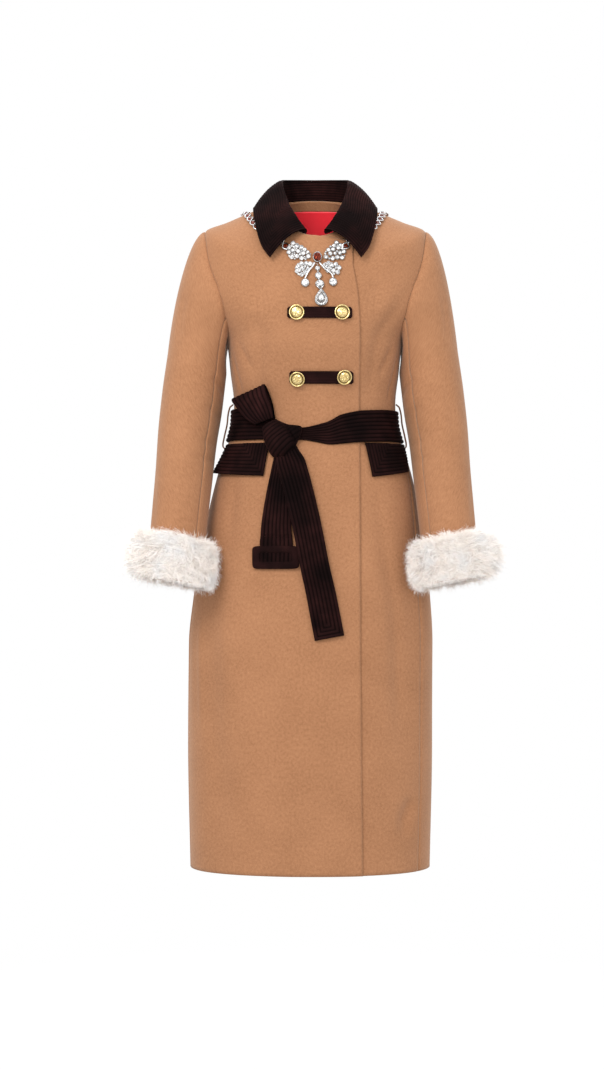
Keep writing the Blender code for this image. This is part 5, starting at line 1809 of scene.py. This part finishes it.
    def make_knot(self) -> None:
        """Make the knot: a wrap with slanting rows, and the fold beside it that leads to the band."""
        outline = np.array(self.knot_outline, float)
        middle = outline.mean(axis=0)
        corners = np.concatenate((outline, outline[:1]))
        run = run_lengths(corners, 0)
        rim = places_along(corners, run, np.linspace(0, run[-1], 121))
        pad = np.concatenate((rim[-7:-1], rim, rim[1:7]))
        kernel = np.hanning(15)[1:-1]
        rim = np.stack([np.convolve(pad[:, k], kernel / kernel.sum(), "valid") for k in range(2)], axis=-1)
        rim[-1] = rim[0]
        reach = np.concatenate((np.linspace(0, 1, 47), (0.93, 0.8, 0.0)))[:, None]
        on_top = np.ones(reach.shape)
        on_top[-3:] = 0.0
        dome = self.knot_base + self.knot_height * np.clip(1 - reach ** 3.0, 0, 1) ** 0.62
        dome[-3:] = self.knot_base - 0.4
        x, z = (middle[k] + (rim[None, :, k] - middle[k]) * reach for k in range(2))
        down, up = self.knot_slant
        slant = (x - middle[0]) * -down + (z - middle[1]) * up
        start, end = np.array(self.knot_crease, float)
        way = unit(end - start)
        past = (x - start[0]) * -way[1] + (z - start[1]) * way[0]
        wrap = smoothstep(2, -2, past)
        rows = ridge(slant, self.knot_pitch, self.knot_row_height) * wrap
        rows = rows + ridge(past, self.knot_fold_pitch, 1.0) * (1 - wrap)
        groove = self.groove_depth * bell(past, self.groove_reach) + self.knot_fold_drop * (1 - wrap)
        points = FORM.on_front(x, z, dome + on_top * (rows - groove) * smoothstep(1.0, 0.86, reach))
        pattern = paired(x * up + z * down, slant * self.channel_width / self.knot_pitch)
        self.finishes.knot.sew("belt_knot", points, FORWARD, pattern=pattern, closed=True)

    def make_buckle(self) -> None:
        """Make the covered buckle as a soft frame round its slot."""
        phi = np.linspace(0, math.tau, 121)[None, :]
        section = np.linspace(0, math.tau, 25)[:, None]
        out = signed_power(np.cos(section), 0.7)
        x, z = (signed_power(corner, 0.24) * ((rim + slot) / 2 + (rim - slot) / 2 * out) + middle
                for corner, rim, slot, middle in zip((np.cos(phi), np.sin(phi)), self.buckle_half_size,
                                                     self.buckle_half_slot, self.buckle_centre))
        points = FORM.on_front(x, z, 4.0 + 2.8 * signed_power(np.sin(section), 0.8))
        mesh = self.finishes.buckle.sew("belt_buckle", points, UPWARD, closed=True).data
        bm = bmesh.new()
        bm.from_mesh(mesh)
        bmesh.ops.recalc_face_normals(bm, faces=bm.faces)
        bm.to_mesh(mesh)
        bm.free()

    def make_carriers(self) -> None:
        """Make the narrow wool carriers that hold the belt at the side seams."""
        table = SmoothTable(("level", "lift"), self.carrier)
        last = len(self.carrier) - 1
        levels = np.interp(np.linspace(0, last, last * 8 + 1), range(last + 1), [level for level, _ in self.carrier])
        level, share = levels[:, None], np.linspace(-1, 1, 7)[None, :]
        for hand in Hand:
            points = FORM.place(hand.value * (self.carrier_angle + self.carrier_half_width * share), level,
                                table.read("lift", level) + WOOL - 0.7 * np.abs(share) ** 3)
            self.finishes.carrier.sew(f"belt_carrier_{hand.word}", points, np.array((hand.value, 0.0, 0.0)))

    def make(self) -> None:
        """Make every part of the belt."""
        self.make_carriers()
        self.make_band()
        self.make_loop()
        self.make_tail("belt_tail_back", self.back_tail, 150, 1.0, (-573, -577), False)
        self.make_tail("belt_tail_front", self.front_tail, 260, 2.6, (), True)
        self.make_knot()
        self.make_buckle()


@dataclass
class Trimmings:
    """Pocket flaps, front tabs and gilt buttons."""

    finishes: Wardrobe
    flaps: NamedRows = (("pocket_flap_right", -26.5, -27, -75, -82, 6, 5), ("pocket_flap_left", 30, 31, 80, 66, 3, 9))
    flap_top: float = -416
    flap_foot: float = -470
    flap_base: float = 1.1
    flap_pitch: float = 6.0
    flap_row_height: float = 1.5
    bead_height: float = 0.8
    tabs: NamedRows = (("tab_upper", 10.7, -196.4, 54, 9.5), ("tab_lower", 13.6, -303.5, 53, 10.5))
    chamfer: float = 3.0
    tab_base: float = 3.4
    tab_rise: float = 0.9
    tab_row_height: float = 0.45
    buttons: NamedRows = (
        ("button_upper_right", -27.5, -196.4),
        ("button_upper_left", 47.8, -196.0),
        ("button_lower_right", -26.3, -306.0),
        ("button_lower_left", 51.2, -302.5),
    )
    button_seat: float = 4.6
    button_radius: float = 13.0
    button_profile: Rows = (
        (0.0, 0.0), (9.6, 0.0), (11.6, 0.5), (12.7, 1.2), (13.0, 1.9), (12.8, 2.5), (12.2, 2.9), (11.5, 2.9),
        (10.9, 2.5), (10.4, 1.8), (9.8, 1.3), (8.9, 1.3), (7.4, 1.9), (5.4, 2.6), (3.0, 3.0), (0.0, 3.2))
    button_beads: Rows = ((8.9, 28, 1.5, 0.62), (5.4, 8, 2.5, 1.55), (2.6, 6, 3.0, 1.0), (0.0, 1, 3.4, 1.3))

    def make_flaps(self) -> None:
        """Make the ribbed flaps, their rows parallel to the foot and the inner end."""
        share, down = np.linspace(0, 1, 101)[None, :], np.linspace(0, 1, 61)[:, None]
        for name, inner_top, inner_foot, outer_top, outer_foot, foot_lift, foot_rise in self.flaps:
            top = inner_top + (outer_top - inner_top) * share
            foot = inner_foot + (outer_foot - inner_foot) * share
            angle = top + (foot - top) * down
            level = self.flap_top + (self.flap_foot - self.flap_top + foot_rise * (share - 0.4)) * down
            lap = FORM.lap(angle, level) * (inner_top < 0)
            lift = lap + self.flap_base + foot_lift * down ** 2 * share + VELVET
            to_foot = (1 - down) * (self.flap_top - self.flap_foot)
            to_end = run_lengths(FORM.place(angle, level, lift), 1)
            inset = np.minimum(to_foot, to_end)
            rows = ridge(inset, self.flap_pitch, self.flap_row_height) * smoothstep(0, 1.4, inset)
            bead = self.bead_height * bell(inset - 1.2, 1.1)
            points = FORM.place(angle, level, lift + rows + bead)
            self.finishes.flap.sew(name, points, FORWARD, "hung", ["belt_band_velvet"],
                                   paired(np.where(to_foot < to_end, to_end, to_foot), inset))

    def make_tabs(self) -> None:
        """Make the two velvet tabs with chamfered ends and three sewn rows."""
        share = np.linspace(-1, 1, 33)[:, None]
        for name, centre_x, centre_z, half_width, half_height in self.tabs:
            across = np.linspace(-half_width, half_width, 97)[None, :]
            end = half_width - np.abs(across)
            half = half_height - self.chamfer * smoothstep(self.chamfer, 0, end)
            rim = np.minimum(end, (1 - np.abs(share)) * half)
            lift = self.tab_base + self.tab_rise * smoothstep(0, 1.6, rim)
            rows = ridge((share + 1) * half_height, half_height / 2, self.tab_row_height)
            lift = lift + rows * smoothstep(0.6, 2.4, rim)
            points = FORM.on_front(centre_x + across, centre_z + share * half, lift)
            self.finishes.tab.sew(name, points, FORWARD, "laid", ["front_right_cloth"])

    def make_buttons(self) -> None:
        """Turn the gilt buttons: a rolled rim, a beaded ring and a rosette on a low dome."""
        for name, x, z in self.buttons:
            bm = bmesh.new()
            corners = [bm.verts.new((r * MM, 0, height * MM)) for r, height in self.button_profile]
            edges = [bm.edges.new(pair) for pair in zip(corners, corners[1:])]
            bmesh.ops.spin(bm, geom=corners + edges, cent=(0, 0, 0), axis=(0, 0, 1), angle=math.tau, steps=56,
                           use_merge=True)
            bmesh.ops.remove_doubles(bm, verts=bm.verts, dist=JOIN_DISTANCE)
            for ring, count, height, size in self.button_beads:
                stretch = Matrix.Diagonal((1.25 if ring > 5 else 1.0, 0.85, 0.55, 1.0))
                for k in range(count):
                    turn = math.tau * k / count
                    place = Matrix.Translation(Vector((ring * math.cos(turn), ring * math.sin(turn), height)) * MM)
                    bmesh.ops.create_icosphere(bm, subdivisions=2, radius=size * MM,
                                               matrix=place @ Matrix.Rotation(turn, 4, "Z") @ stretch)
            bmesh.ops.recalc_face_normals(bm, faces=bm.faces)
            sort_faces(bm)
            layer = bm.loops.layers.uv.new("UVMap")
            scale = self.button_radius * MM
            for loop in (loop for face in bm.faces for loop in face.loops):
                place = loop.vert.co
                loop[layer].uv = (math.hypot(place.x, place.y) / scale, place.z / scale)
            matrix = front_frames(x, z, self.button_seat, np.ones(3))[0]
            bmesh.ops.transform(bm, matrix=Matrix(matrix.tolist()), verts=bm.verts)
            finish_piece(mesh_object(f"{name}_gilt", mesh_of(f"{name}_gilt", bm)), self.finishes.gold, name)

    def make(self) -> None:
        """Make the flaps, tabs and buttons."""
        self.make_flaps()
        self.make_tabs()
        self.make_buttons()


def skin(bm: bmesh.types.BMesh, rings: list[list[bmesh.types.BMVert]], closed: bool) -> None:
    """Join rings of vertices with faces.

    Args:
        bm: The bmesh that holds them.
        rings: The rings in order.
        closed: Whether the last meets the first.
    """
    for low, high in zip(rings, rings[1:] + (rings[:1] if closed else [])):
        for k in range(len(low)):
            m = (k + 1) % len(low)
            bm.faces.new((low[k], low[m], high[m], high[k]))


def swept_tube(bm: bmesh.types.BMesh, line: Array, radius: float, closed: bool = False, sides: int = 8) -> None:
    """Add a round tube along a line that lies about flat on the XY plane.

    Args:
        bm: The bmesh that it is added to, in millimetres.
        line: Points along it.
        radius: Its radius.
        closed: Whether its end meets its start.
        sides: Sides round it.
    """
    along = unit(np.roll(line, -1, axis=0) - np.roll(line, 1, axis=0) if closed else np.gradient(line, axis=0))
    side = unit(np.cross(UPWARD, along))
    rise = np.cross(along, side)
    turns = [math.tau * k / sides for k in range(sides)]
    rings = [[bm.verts.new(point + (across * math.cos(t) + up * math.sin(t)) * radius) for t in turns]
             for point, across, up in zip(line, side, rise)]
    skin(bm, rings, closed)
    if not closed:
        bm.faces.new(rings[0][::-1])
        bm.faces.new(rings[-1])


def scaled_mesh(name: str, bm: bmesh.types.BMesh) -> Mesh:
    """Turn a bmesh in millimetres into a mesh in metres, facing out.

    Args:
        name: The mesh's name.
        bm: The bmesh, which is freed.

    Returns:
        The mesh.
    """
    bmesh.ops.recalc_face_normals(bm, faces=bm.faces)
    bmesh.ops.scale(bm, verts=bm.verts, vec=(MM, MM, MM))
    return mesh_of(name, bm)


def cut_stone(sides: int) -> Mesh:
    """Cut a stone of unit half width, flat-topped and faceted round its crown.

    Args:
        sides: Facets round it.

    Returns:
        The stone in metres.
    """
    bm = bmesh.new()
    for radius, height, turn in ((1.0, 0.0, 0.0), (0.96, -0.12, 0.0), (0.84, 0.30, 0.5), (0.55, 0.46, 0.0)):
        for k in range(sides):
            angle = math.tau * (k + turn) / sides
            bm.verts.new((radius * math.cos(angle), radius * math.sin(angle), height))
    bm.verts.new((0, 0, -0.45))
    bmesh.ops.convex_hull(bm, input=bm.verts)
    return scaled_mesh("cut_stone", bm)


def front_frames(x: Array, z: Array, lift: Array | float, scale: Array, turn: Array | float = 0.0) -> Array:
    """Return matrices that seat small shapes on the coat's front.

    Args:
        x: Places across.
        z: Heights.
        lift: Lifts off the cloth.
        scale: Each shape's three scales, one row a shape.
        turn: Turn of each shape's own x from the level, in radians.

    Returns:
        One 4 by 4 matrix for each place, in metres.
    """
    x, z, lift, turn = (np.atleast_1d(np.asarray(part, float)) for part in np.broadcast_arrays(x, z, lift, turn))
    angle, level = FORM.front_place(x, z)
    normals = FORM.normal(angle, level)
    seats = FORM.on_front(x, z, lift)
    level_way = unit(np.array((1.0, 0.0, 0.0)) - normals * normals[:, :1])
    up_way = np.cross(normals, level_way)
    ways = level_way * np.cos(turn)[:, None] + up_way * np.sin(turn)[:, None]
    scale = np.broadcast_to(scale, (len(x), 3))
    return np.stack([frame_from(*row) for row in zip(seats, ways, normals, scale)])


@dataclass(frozen=True)
class Pave:
    """Stones set in a lobe: places, radii and lifts."""

    x: Array
    z: Array
    radius: Array
    lift: Array


@dataclass
class JewelBow:
    """The jewelled bow: pierced lobes set with stones, a dark red centre, strands and drops."""

    finishes: Wardrobe
    lobes: dict[str, Rows] = field(default_factory=lambda: {
        "upper_right": ((-3, -98), (-10, -91), (-22, -81), (-33, -75), (-42, -82), (-45, -92), (-41, -105),
                        (-25, -108), (-8, -107)),
        "upper_left": ((17, -98), (23, -90), (31, -80), (40, -74), (49, -82), (56, -96), (51, -106), (35, -108),
                       (20, -107)),
        "lower_right": ((2, -112), (-10, -110.5), (-24, -111), (-31, -119), (-29, -130), (-20, -136), (-8, -128)),
        "lower_left": ((14, -112), (24, -110.5), (38, -111), (46, -118), (46, -128), (37, -134), (22, -127))})
    stone_sizes: tuple[tuple[float, int], ...] = ((3.3, 260), (2.5, 500), (1.7, 800), (1.15, 900))
    stone_gap: float = 0.15
    seed: int = 7
    stone_base: float = 2.2
    stone_rise: float = 2.6
    prongs: int = 4
    prong_reach: float = 1.08
    prong_radius: float = 0.20
    bar_size: Two = (0.9, 0.8)
    rim_radius: float = 0.13
    link_reach: float = 1.9
    ribbon_half_width: float = 1.5
    centre: tuple[float, ...] = (7.0, -103.5, 8.0, 9.5)
    drops: NamedRows = (
        ("bow_drop_upper", 7.4, -121.5, 4.6, 5.0, 6.0),
        ("bow_drop_middle", 8.7, -134, 6.0, 6.2, 6.5),
        ("bow_drop_lower", 10.9, -147.8, 7.4, 6.6, 7.0),
        ("bow_side_drop_right", -13.4, -146.5, 7.0, 7.4, 6.5),
        ("bow_side_drop_left", 33.2, -145, 7.0, 7.4, 6.5),
    )
    pear: tuple[float, ...] = (13.4, -171.0, 11.5, 14.5)
    frame_corners: int = 56
    strands: dict[str, Rows] = field(default_factory=lambda: {
        "right": ((3, -112), (-2, -119.5), (-8, -127), (-11, -133), (-14, -139.5)),
        "left": ((11, -112), (16, -119), (23, -125.5), (30, -130.5), (33.5, -138))})
    frame_bars: tuple[Rows, ...] = (((3.6, -150.5), (12.0, -158.0)), ((18.4, -150.0), (12.0, -158.0)))
    joints: Rows = ((7.2, -114.8), (8.0, -127.2), (9.8, -140.6), (-13.6, -138.2), (33.3, -136.8))

    def pave(self, outline: Sequence[Two], chance: np.random.Generator) -> Pave:
        """Return the stones that fill a lobe, large ones first along its edge.

        Args:
            outline: The lobe's corners.
            chance: The seeded source of their places.

        Returns:
            The stones.
        """
        corners = np.array(outline, float)
        ahead = np.roll(corners, -1, axis=0) - corners
        low, high = corners.min(axis=0), corners.max(axis=0)
        kept: list[tuple[float, float, float, float]] = []
        for radius, tries in self.stone_sizes:
            places = chance.uniform(low, high, (tries, 2))
            towards = places[:, None] - corners[None]
            share = np.clip(np.sum(towards * ahead, axis=-1) / np.sum(ahead * ahead, axis=-1), 0, 1)
            inset = np.linalg.norm(towards - ahead * share[..., None], axis=-1).min(axis=1)
            crosses = (corners[:, 1] > places[:, None, 1]) != (np.roll(corners[:, 1], -1) > places[:, None, 1])
            safe = np.where(ahead[:, 1] == 0, 1.0, ahead[:, 1])
            side = places[:, None, 0] < corners[:, 0] + ahead[:, 0] * towards[..., 1] / safe
            inside = np.sum(crosses & side, axis=1) % 2 == 1
            for k in np.argsort(inset):
                if not inside[k] or inset[k] < radius * 0.8:
                    continue
                x, z = places[k]
                if all(math.hypot(x - a, z - b) > radius + r + self.stone_gap for a, b, r, _ in kept):
                    kept.append((x, z, radius, inset[k]))
        x, z, radius, inset = np.array(kept).T
        return Pave(x, z, radius, self.stone_base + self.stone_rise * smoothstep(0, 10, inset))

    def make_lobes(self) -> list[Pave]:
        """Make the silver work of the lobes.

        Returns:
            The stones that go in them.
        """
        chance = np.random.default_rng(self.seed)
        fills = []
        for name, outline in self.lobes.items():
            fill = self.pave(outline, chance)
            fills.append(fill)
            cup, bar = bmesh.new(), bmesh.new()
            bmesh.ops.create_cone(cup, cap_ends=True, segments=14, radius1=1.10, radius2=1.24, depth=0.5)
            for k in range(self.prongs):
                turn = math.tau * (k + 0.5) / self.prongs
                place = Matrix.Translation((self.prong_reach * math.cos(turn), self.prong_reach * math.sin(turn), 0.34))
                bmesh.ops.create_icosphere(cup, subdivisions=1, radius=self.prong_radius, matrix=place)
            bmesh.ops.create_cube(bar, size=1.0)
            cups = front_frames(fill.x, fill.z, fill.lift - 0.35, fill.radius[:, None])
            gaps = np.hypot(fill.x[:, None] - fill.x, fill.z[:, None] - fill.z)
            first, second = np.nonzero(np.triu(gaps < fill.radius[:, None] + fill.radius + self.link_reach, 1))
            turn = np.arctan2(fill.z[second] - fill.z[first], fill.x[second] - fill.x[first])
            sizes = np.column_stack((gaps[first, second], np.tile(self.bar_size, (len(first), 1))))
            x, z, lift = ((part[first] + part[second]) / 2 for part in (fill.x, fill.z, fill.lift))
            # The cups and bars take the darker silver, a painted shade between the stones.
            copies(f"bow_web_{name}", scaled_mesh("cup", cup), cups, self.finishes.shaded_silver, f"bow_lobe_{name}")
            copies(f"bow_bars_{name}", scaled_mesh("bar", bar), front_frames(x, z, lift - 0.9, sizes, turn),
                   self.finishes.shaded_silver)
        return fills

    def make_stones(self, fills: Sequence[Pave]) -> None:
        """Set the stones of the lobes and the pear's frame, in one joined piece.

        Args:
            fills: The stones of the lobes.
        """
        parts = [front_frames(fill.x, fill.z, fill.lift, np.stack((fill.radius,) * 3, axis=-1), fill.x * 3.1)
                 for fill in fills]
        line = self.teardrop(0.80, 18)
        x, z = self.pear[0] + line[:, 0], self.pear[1] + line[:, 1]
        parts.append(front_frames(x, z, 4.3, np.full((len(x), 3), 1.05), x))
        copies("bow_stones", cut_stone(8), np.concatenate(parts), self.finishes.clear)

    def teardrop(self, scale: float, count: int) -> Array:
        """Return the pear's outline about its middle, its point up.

        Args:
            scale: Its share of the pear's size.
            count: Corners round it.

        Returns:
            Corners.
        """
        t = np.linspace(0, math.tau, count + 1)[:-1]
        x = 1.2 * np.sin(t) * np.abs(np.sin(t / 2)) ** 1.1 * self.pear[2] * scale
        return paired(x, np.cos(t) * self.pear[3] * scale)

    def make_drops(self) -> None:
        """Make the centre stone, the drops and the pear's stone."""
        x, z, half_width, half_height = self.centre
        scale = np.array((half_width - 1.2, half_height - 1.2, 7.5))
        copies("bow_centre_stone", cut_stone(14), front_frames(x, z, 5.4, scale), self.finishes.amber, "bow_centre")
        for name, x, z, half_width, half_height, height in self.drops:
            scale = np.array((half_width - 1.0, half_height - 1.0, height * 0.9))
            copies(f"{name}_stone", cut_stone(10), front_frames(x, z, 2.8, scale), self.finishes.clear, name)
        bm = bmesh.new()
        for scale, height in ((0.50, 0.0), (0.48, -1.0), (0.42, 1.8), (0.26, 3.0)):
            for corner in self.teardrop(scale, 12):
                bm.verts.new((*corner, height))
        bmesh.ops.convex_hull(bm, input=bm.verts)
        seat = front_frames(*self.pear[:2], 3.4, np.ones(3))
        copies("bow_pear_stone", scaled_mesh("pear", bm), seat, self.finishes.clear, "bow_pear")

    def make_settings(self) -> None:
        """Make the silver rims of the stones and the pear's frame."""
        ring, frame = bmesh.new(), bmesh.new()
        turns = np.linspace(0, math.tau, 37)[:-1]
        swept_tube(ring, np.stack((np.cos(turns), np.sin(turns), 0 * turns), axis=-1), self.rim_radius, True)
        spots = [(*self.centre, 5.2)] + [(x, z, w, h, 2.6) for _, x, z, w, h, _ in self.drops]
        x, z, w, h, lift = np.array(spots).T
        seats = front_frames(x, z, lift, np.stack((w - 0.9, h - 0.9, (w + h) / 1.6), axis=-1))
        # The rims take the darker silver, a painted shade round the stones.
        copies("bow_settings", scaled_mesh("ring", ring), seats, self.finishes.shaded_silver, smooth=True)
        for size, height, radius in ((0.97, 0.6, 1.0), (0.62, 1.2, 0.8)):
            line = self.teardrop(size, self.frame_corners)
            swept_tube(frame, np.column_stack((line, np.full(len(line), height))), radius, True)
        skin(frame, [[frame.verts.new((*corner, height)) for corner in self.teardrop(size, self.frame_corners)]
                     for size, height in ((0.97, 0.6), (0.80, 1.4), (0.62, 1.2), (0.62, -0.6), (0.97, -0.6))], True)
        seat = front_frames(*self.pear[:2], 2.6, np.ones(3))
        # The pear's frame takes the darker silver too, a painted shade round its stones.
        copies("bow_pear_frame", scaled_mesh("frame", frame), seat, self.finishes.shaded_silver, smooth=True)

    def make_joints(self) -> None:
        """Make the small silver joints and the bars over the pear."""
        small, bars = bmesh.new(), bmesh.new()
        bmesh.ops.create_icosphere(small, subdivisions=2, radius=1.0)
        seats = front_frames(*np.array(self.joints).T, 3.4, np.full(3, 1.3))
        copies("bow_joints", scaled_mesh("joint", small), seats, self.finishes.silver, smooth=True)
        bmesh.ops.create_cube(bars, size=1.0)
        bmesh.ops.bevel(bars, geom=bars.edges[:], offset=0.12, segments=2, affect="EDGES")
        ends = np.array(self.frame_bars)
        ahead = ends[:, 1] - ends[:, 0]
        sizes = np.stack((np.hypot(*ahead.T), np.full(2, 2.0), np.full(2, 2.4)), axis=-1)
        seats = front_frames(*ends.mean(axis=1).T, 3.2, sizes, np.arctan2(ahead[:, 1], ahead[:, 0]))
        copies("bow_frame_bars", scaled_mesh("bars", bars), seats, self.finishes.silver, smooth=True)

    def make_strands(self) -> None:
        """Make the two plain silver ribbons that carry the side drops."""
        share = np.linspace(-1, 1, 9)[None, :]
        for word, places in self.strands.items():
            path = SmoothTable(("step", "x", "z"), [(i, *place) for i, place in enumerate(places)])
            step = np.linspace(0, len(places) - 1, 41)[:, None]
            x, z = path.beside(("x", "z"), step, 0.05, share * self.ribbon_half_width)
            lift = 4.2 - 0.9 * share ** 2 + 1.4 * np.sin(step / (len(places) - 1) * math.pi)
            self.finishes.ribbon.sew(f"bow_strand_{word}", FORM.on_front(x, z, lift), FORWARD)

    def make(self) -> None:
        """Make the whole bow."""
        fills = self.make_lobes()
        self.make_stones(fills)
        self.make_drops()
        self.make_settings()
        self.make_joints()
        self.make_strands()
        LOG.info("the bow holds %d lobe stones", sum(len(fill.x) for fill in fills))


@dataclass
class Chain:
    """The chain from the bow over the shoulders: two twined silver links round each oval stone."""

    finishes: Wardrobe
    lift: float = 3.2
    pitch: float = 15.0
    reach: float = 5.2
    wire: float = 1.3
    twist: float = 0.9
    stone_scale: Three = (4.3, 3.5, 4.0)
    front: Rows = ((-47, -90), (-53, -80), (-62, -66), (-82, -55), (-99, -47), (-108, -35))
    back: Rows = ((84, 36), (90, 32), (102, 30), (120, 30), (140, 30), (160, 30), (180, 30))

    def places(self) -> dict[str, tuple[int, list[Three]]]:
        """Follow the chain over both fronts and round the back.

        Returns:
            Each stretch's side and its angle, level and lift at places along it.
        """
        found: dict[str, tuple[int, list[Three]]] = {}
        for hand in Hand:
            row = []
            for x, z in self.front:
                angle, level = FORM.front_place(COLLAR_MIDDLE_X - hand.value * x, z)
                lap = float(FORM.lap(angle, level))
                if hand is Hand.LEFT:
                    lap *= float(smoothstep(-95, -75, x))
                row.append((hand.value * float(angle), float(level), lap + self.lift))
            found[hand.word] = (hand.value, row + [(*self.back[0], self.lift)])
        behind = [(angle, level, self.lift) for angle, level in self.back[1:]]
        behind += [(360 - angle, level, self.lift) for angle, level in self.back[-2:0:-1]]
        found["back"] = (1, behind)
        return found

    def cells(self, side: int, row: Sequence[Three]) -> Array:
        """Return one matrix for each cell of the chain, its x along the chain and its z off the coat.

        Args:
            side: 1 for the wearer's left or the back, and -1 for the right.
            row: Angles, levels and lifts along the stretch.

        Returns:
            Matrices in metres.
        """
        table = SmoothTable(("angle", "level", "lift"), row)
        angle = np.linspace(row[0][0], row[-1][0], 241)
        line = FORM.place(side * angle, table.read("level", angle), table.read("lift", angle))
        run = run_lengths(line, 0)
        count = max(round(run[-1] / self.pitch), 1)
        step = run[-1] / count
        at = (np.arange(count) + 0.5) * step
        ahead = places_along(line, run, at + 2) - places_along(line, run, at - 2)
        turned = np.interp(at, run, angle)
        normals = FORM.normal(side * turned, table.read("level", turned))
        scale = (step / self.pitch, 1.0, 1.0)
        return np.stack([frame_from(*parts, scale) for parts in zip(places_along(line, run, at), ahead, normals)])

    def make(self) -> None:
        """Make the links of each stretch and all the stones."""
        stones = []
        t = np.linspace(-0.5, 0.5, 17)
        arc = np.stack((t * self.pitch, self.reach * np.cos(t * math.pi), self.twist * np.sin(t * math.pi)), axis=-1)
        for word, (side, row) in self.places().items():
            frames = self.cells(side, row)
            stones.append(frames)
            bm = bmesh.new()
            for turn in (1, -1):
                swept_tube(bm, arc * np.array((turn, turn, 1.0)), self.wire)
            copies(f"chain_{word}_links", scaled_mesh("link", bm), frames, self.finishes.silver, f"chain_{word}",
                   smooth=True)
        frames = np.concatenate(stones) @ np.diag((*self.stone_scale, 1.0))
        copies("chain_stones", cut_stone(10), frames, self.finishes.amber)
        LOG.info("the chain holds %d stones", len(frames))


@dataclass
class Studio:
    """A pale floor, soft studio light and the camera."""

    camera_place: Three = (-0.019, -4.0, -0.571)
    lens: float = 77.4
    sensor: float = 36.0
    floor_height: float = -1.47
    floor_radius: float = 14.0
    floor_fade: Two = (0.9, 0.6)
    lamps: NamedRows = (
        ("key", (-1.1, -2.3, 1.15), -0.1, 1.4, 54),
        ("front", (0.2, -3.6, 0.35), -0.2, 1.0, 23),
        ("fill", (2.4, -2.8, 0.3), -0.6, 2.4, 15),
        ("top", (0.0, 0.4, 2.4), -0.4, 2.0, 26),
        ("rim", (0.6, 3.0, 0.8), -0.4, 2.2, 20),
    )

    def camera(self) -> None:
        """Set up the camera, level and square to the coat's front."""
        data = bpy.data.cameras.new("camera")
        data.lens = self.lens
        data.sensor_width = self.sensor
        data.sensor_fit = "AUTO"
        made = bpy.data.objects.new("camera", data)
        made.location = self.camera_place
        made.rotation_euler = (math.radians(90), 0, 0)
        bpy.context.scene.collection.objects.link(made)
        bpy.context.scene.camera = made

    def hang_lamps(self) -> None:
        """Hang the soft lamps: place, height on the coat's middle that they point at, width and watts."""
        for name, place, aim, size, power in self.lamps:
            data = bpy.data.lights.new(name, "AREA")
            data.shape = "DISK"
            data.size = size
            data.energy = power
            made = bpy.data.objects.new(name, data)
            made.location = place
            made.rotation_euler = (Vector((0, 0, aim)) - Vector(place)).to_track_quat("-Z", "Y").to_euler()
            bpy.context.scene.collection.objects.link(made)

    def floor(self) -> None:
        """Lay a round pale floor that fades into the backdrop's white."""
        bm = bmesh.new()
        bmesh.ops.create_circle(bm, cap_ends=True, segments=96, radius=self.floor_radius)
        bmesh.ops.translate(bm, verts=bm.verts, vec=(0, 0, self.floor_height))
        piece = mesh_object("floor", mesh_of("floor", bm))
        recipe = Recipe("floor_white", (0.90, 0.90, 0.90), 0.9)
        away = recipe.node("ShaderNodeVectorMath", {0: recipe.coordinates("Object")}, operation="LENGTH")
        share = Signal(recipe, away.outputs["Value"]) * self.floor_fade[0] - self.floor_fade[1]
        ramp = recipe.node("ShaderNodeValToRGB", {"Fac": share})
        for element, shade in zip(ramp.color_ramp.elements, (1.0, 0.0)):
            element.color = (shade, shade, shade, 1.0)
        recipe.feed("Alpha", ramp.outputs["Color"])
        piece.data.materials.append(recipe.material)

    def make(self) -> None:
        """Set up the camera, the floor, the lamps and the white surroundings."""
        self.camera()
        self.floor()
        self.hang_lamps()
        world = bpy.data.worlds.new("studio_white")
        world.use_nodes = True
        background = world.node_tree.nodes["Background"].inputs
        background["Color"].default_value = (1.0, 1.0, 1.0, 1.0)
        background["Strength"].default_value = 1.0
        bpy.context.scene.world = world
        bpy.context.scene.view_settings.view_transform = "Standard"


def main() -> None:
    """Build the studio and the coat."""
    logging.basicConfig(level=logging.INFO, format="%(message)s")
    for old in list(bpy.data.objects):
        bpy.data.objects.remove(old, do_unlink=True)
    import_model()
    Studio().make()
    wardrobe = Wardrobe()
    Body(wardrobe).make()
    sleeves = Sleeves(wardrobe)
    sleeves.make()
    FurCuffs(wardrobe, sleeves).make()
    Collar(wardrobe).make()
    Belt(wardrobe).make()
    Trimmings(wardrobe).make()
    JewelBow(wardrobe).make()
    Chain(wardrobe).make()


if __name__ == "__main__":
    main()
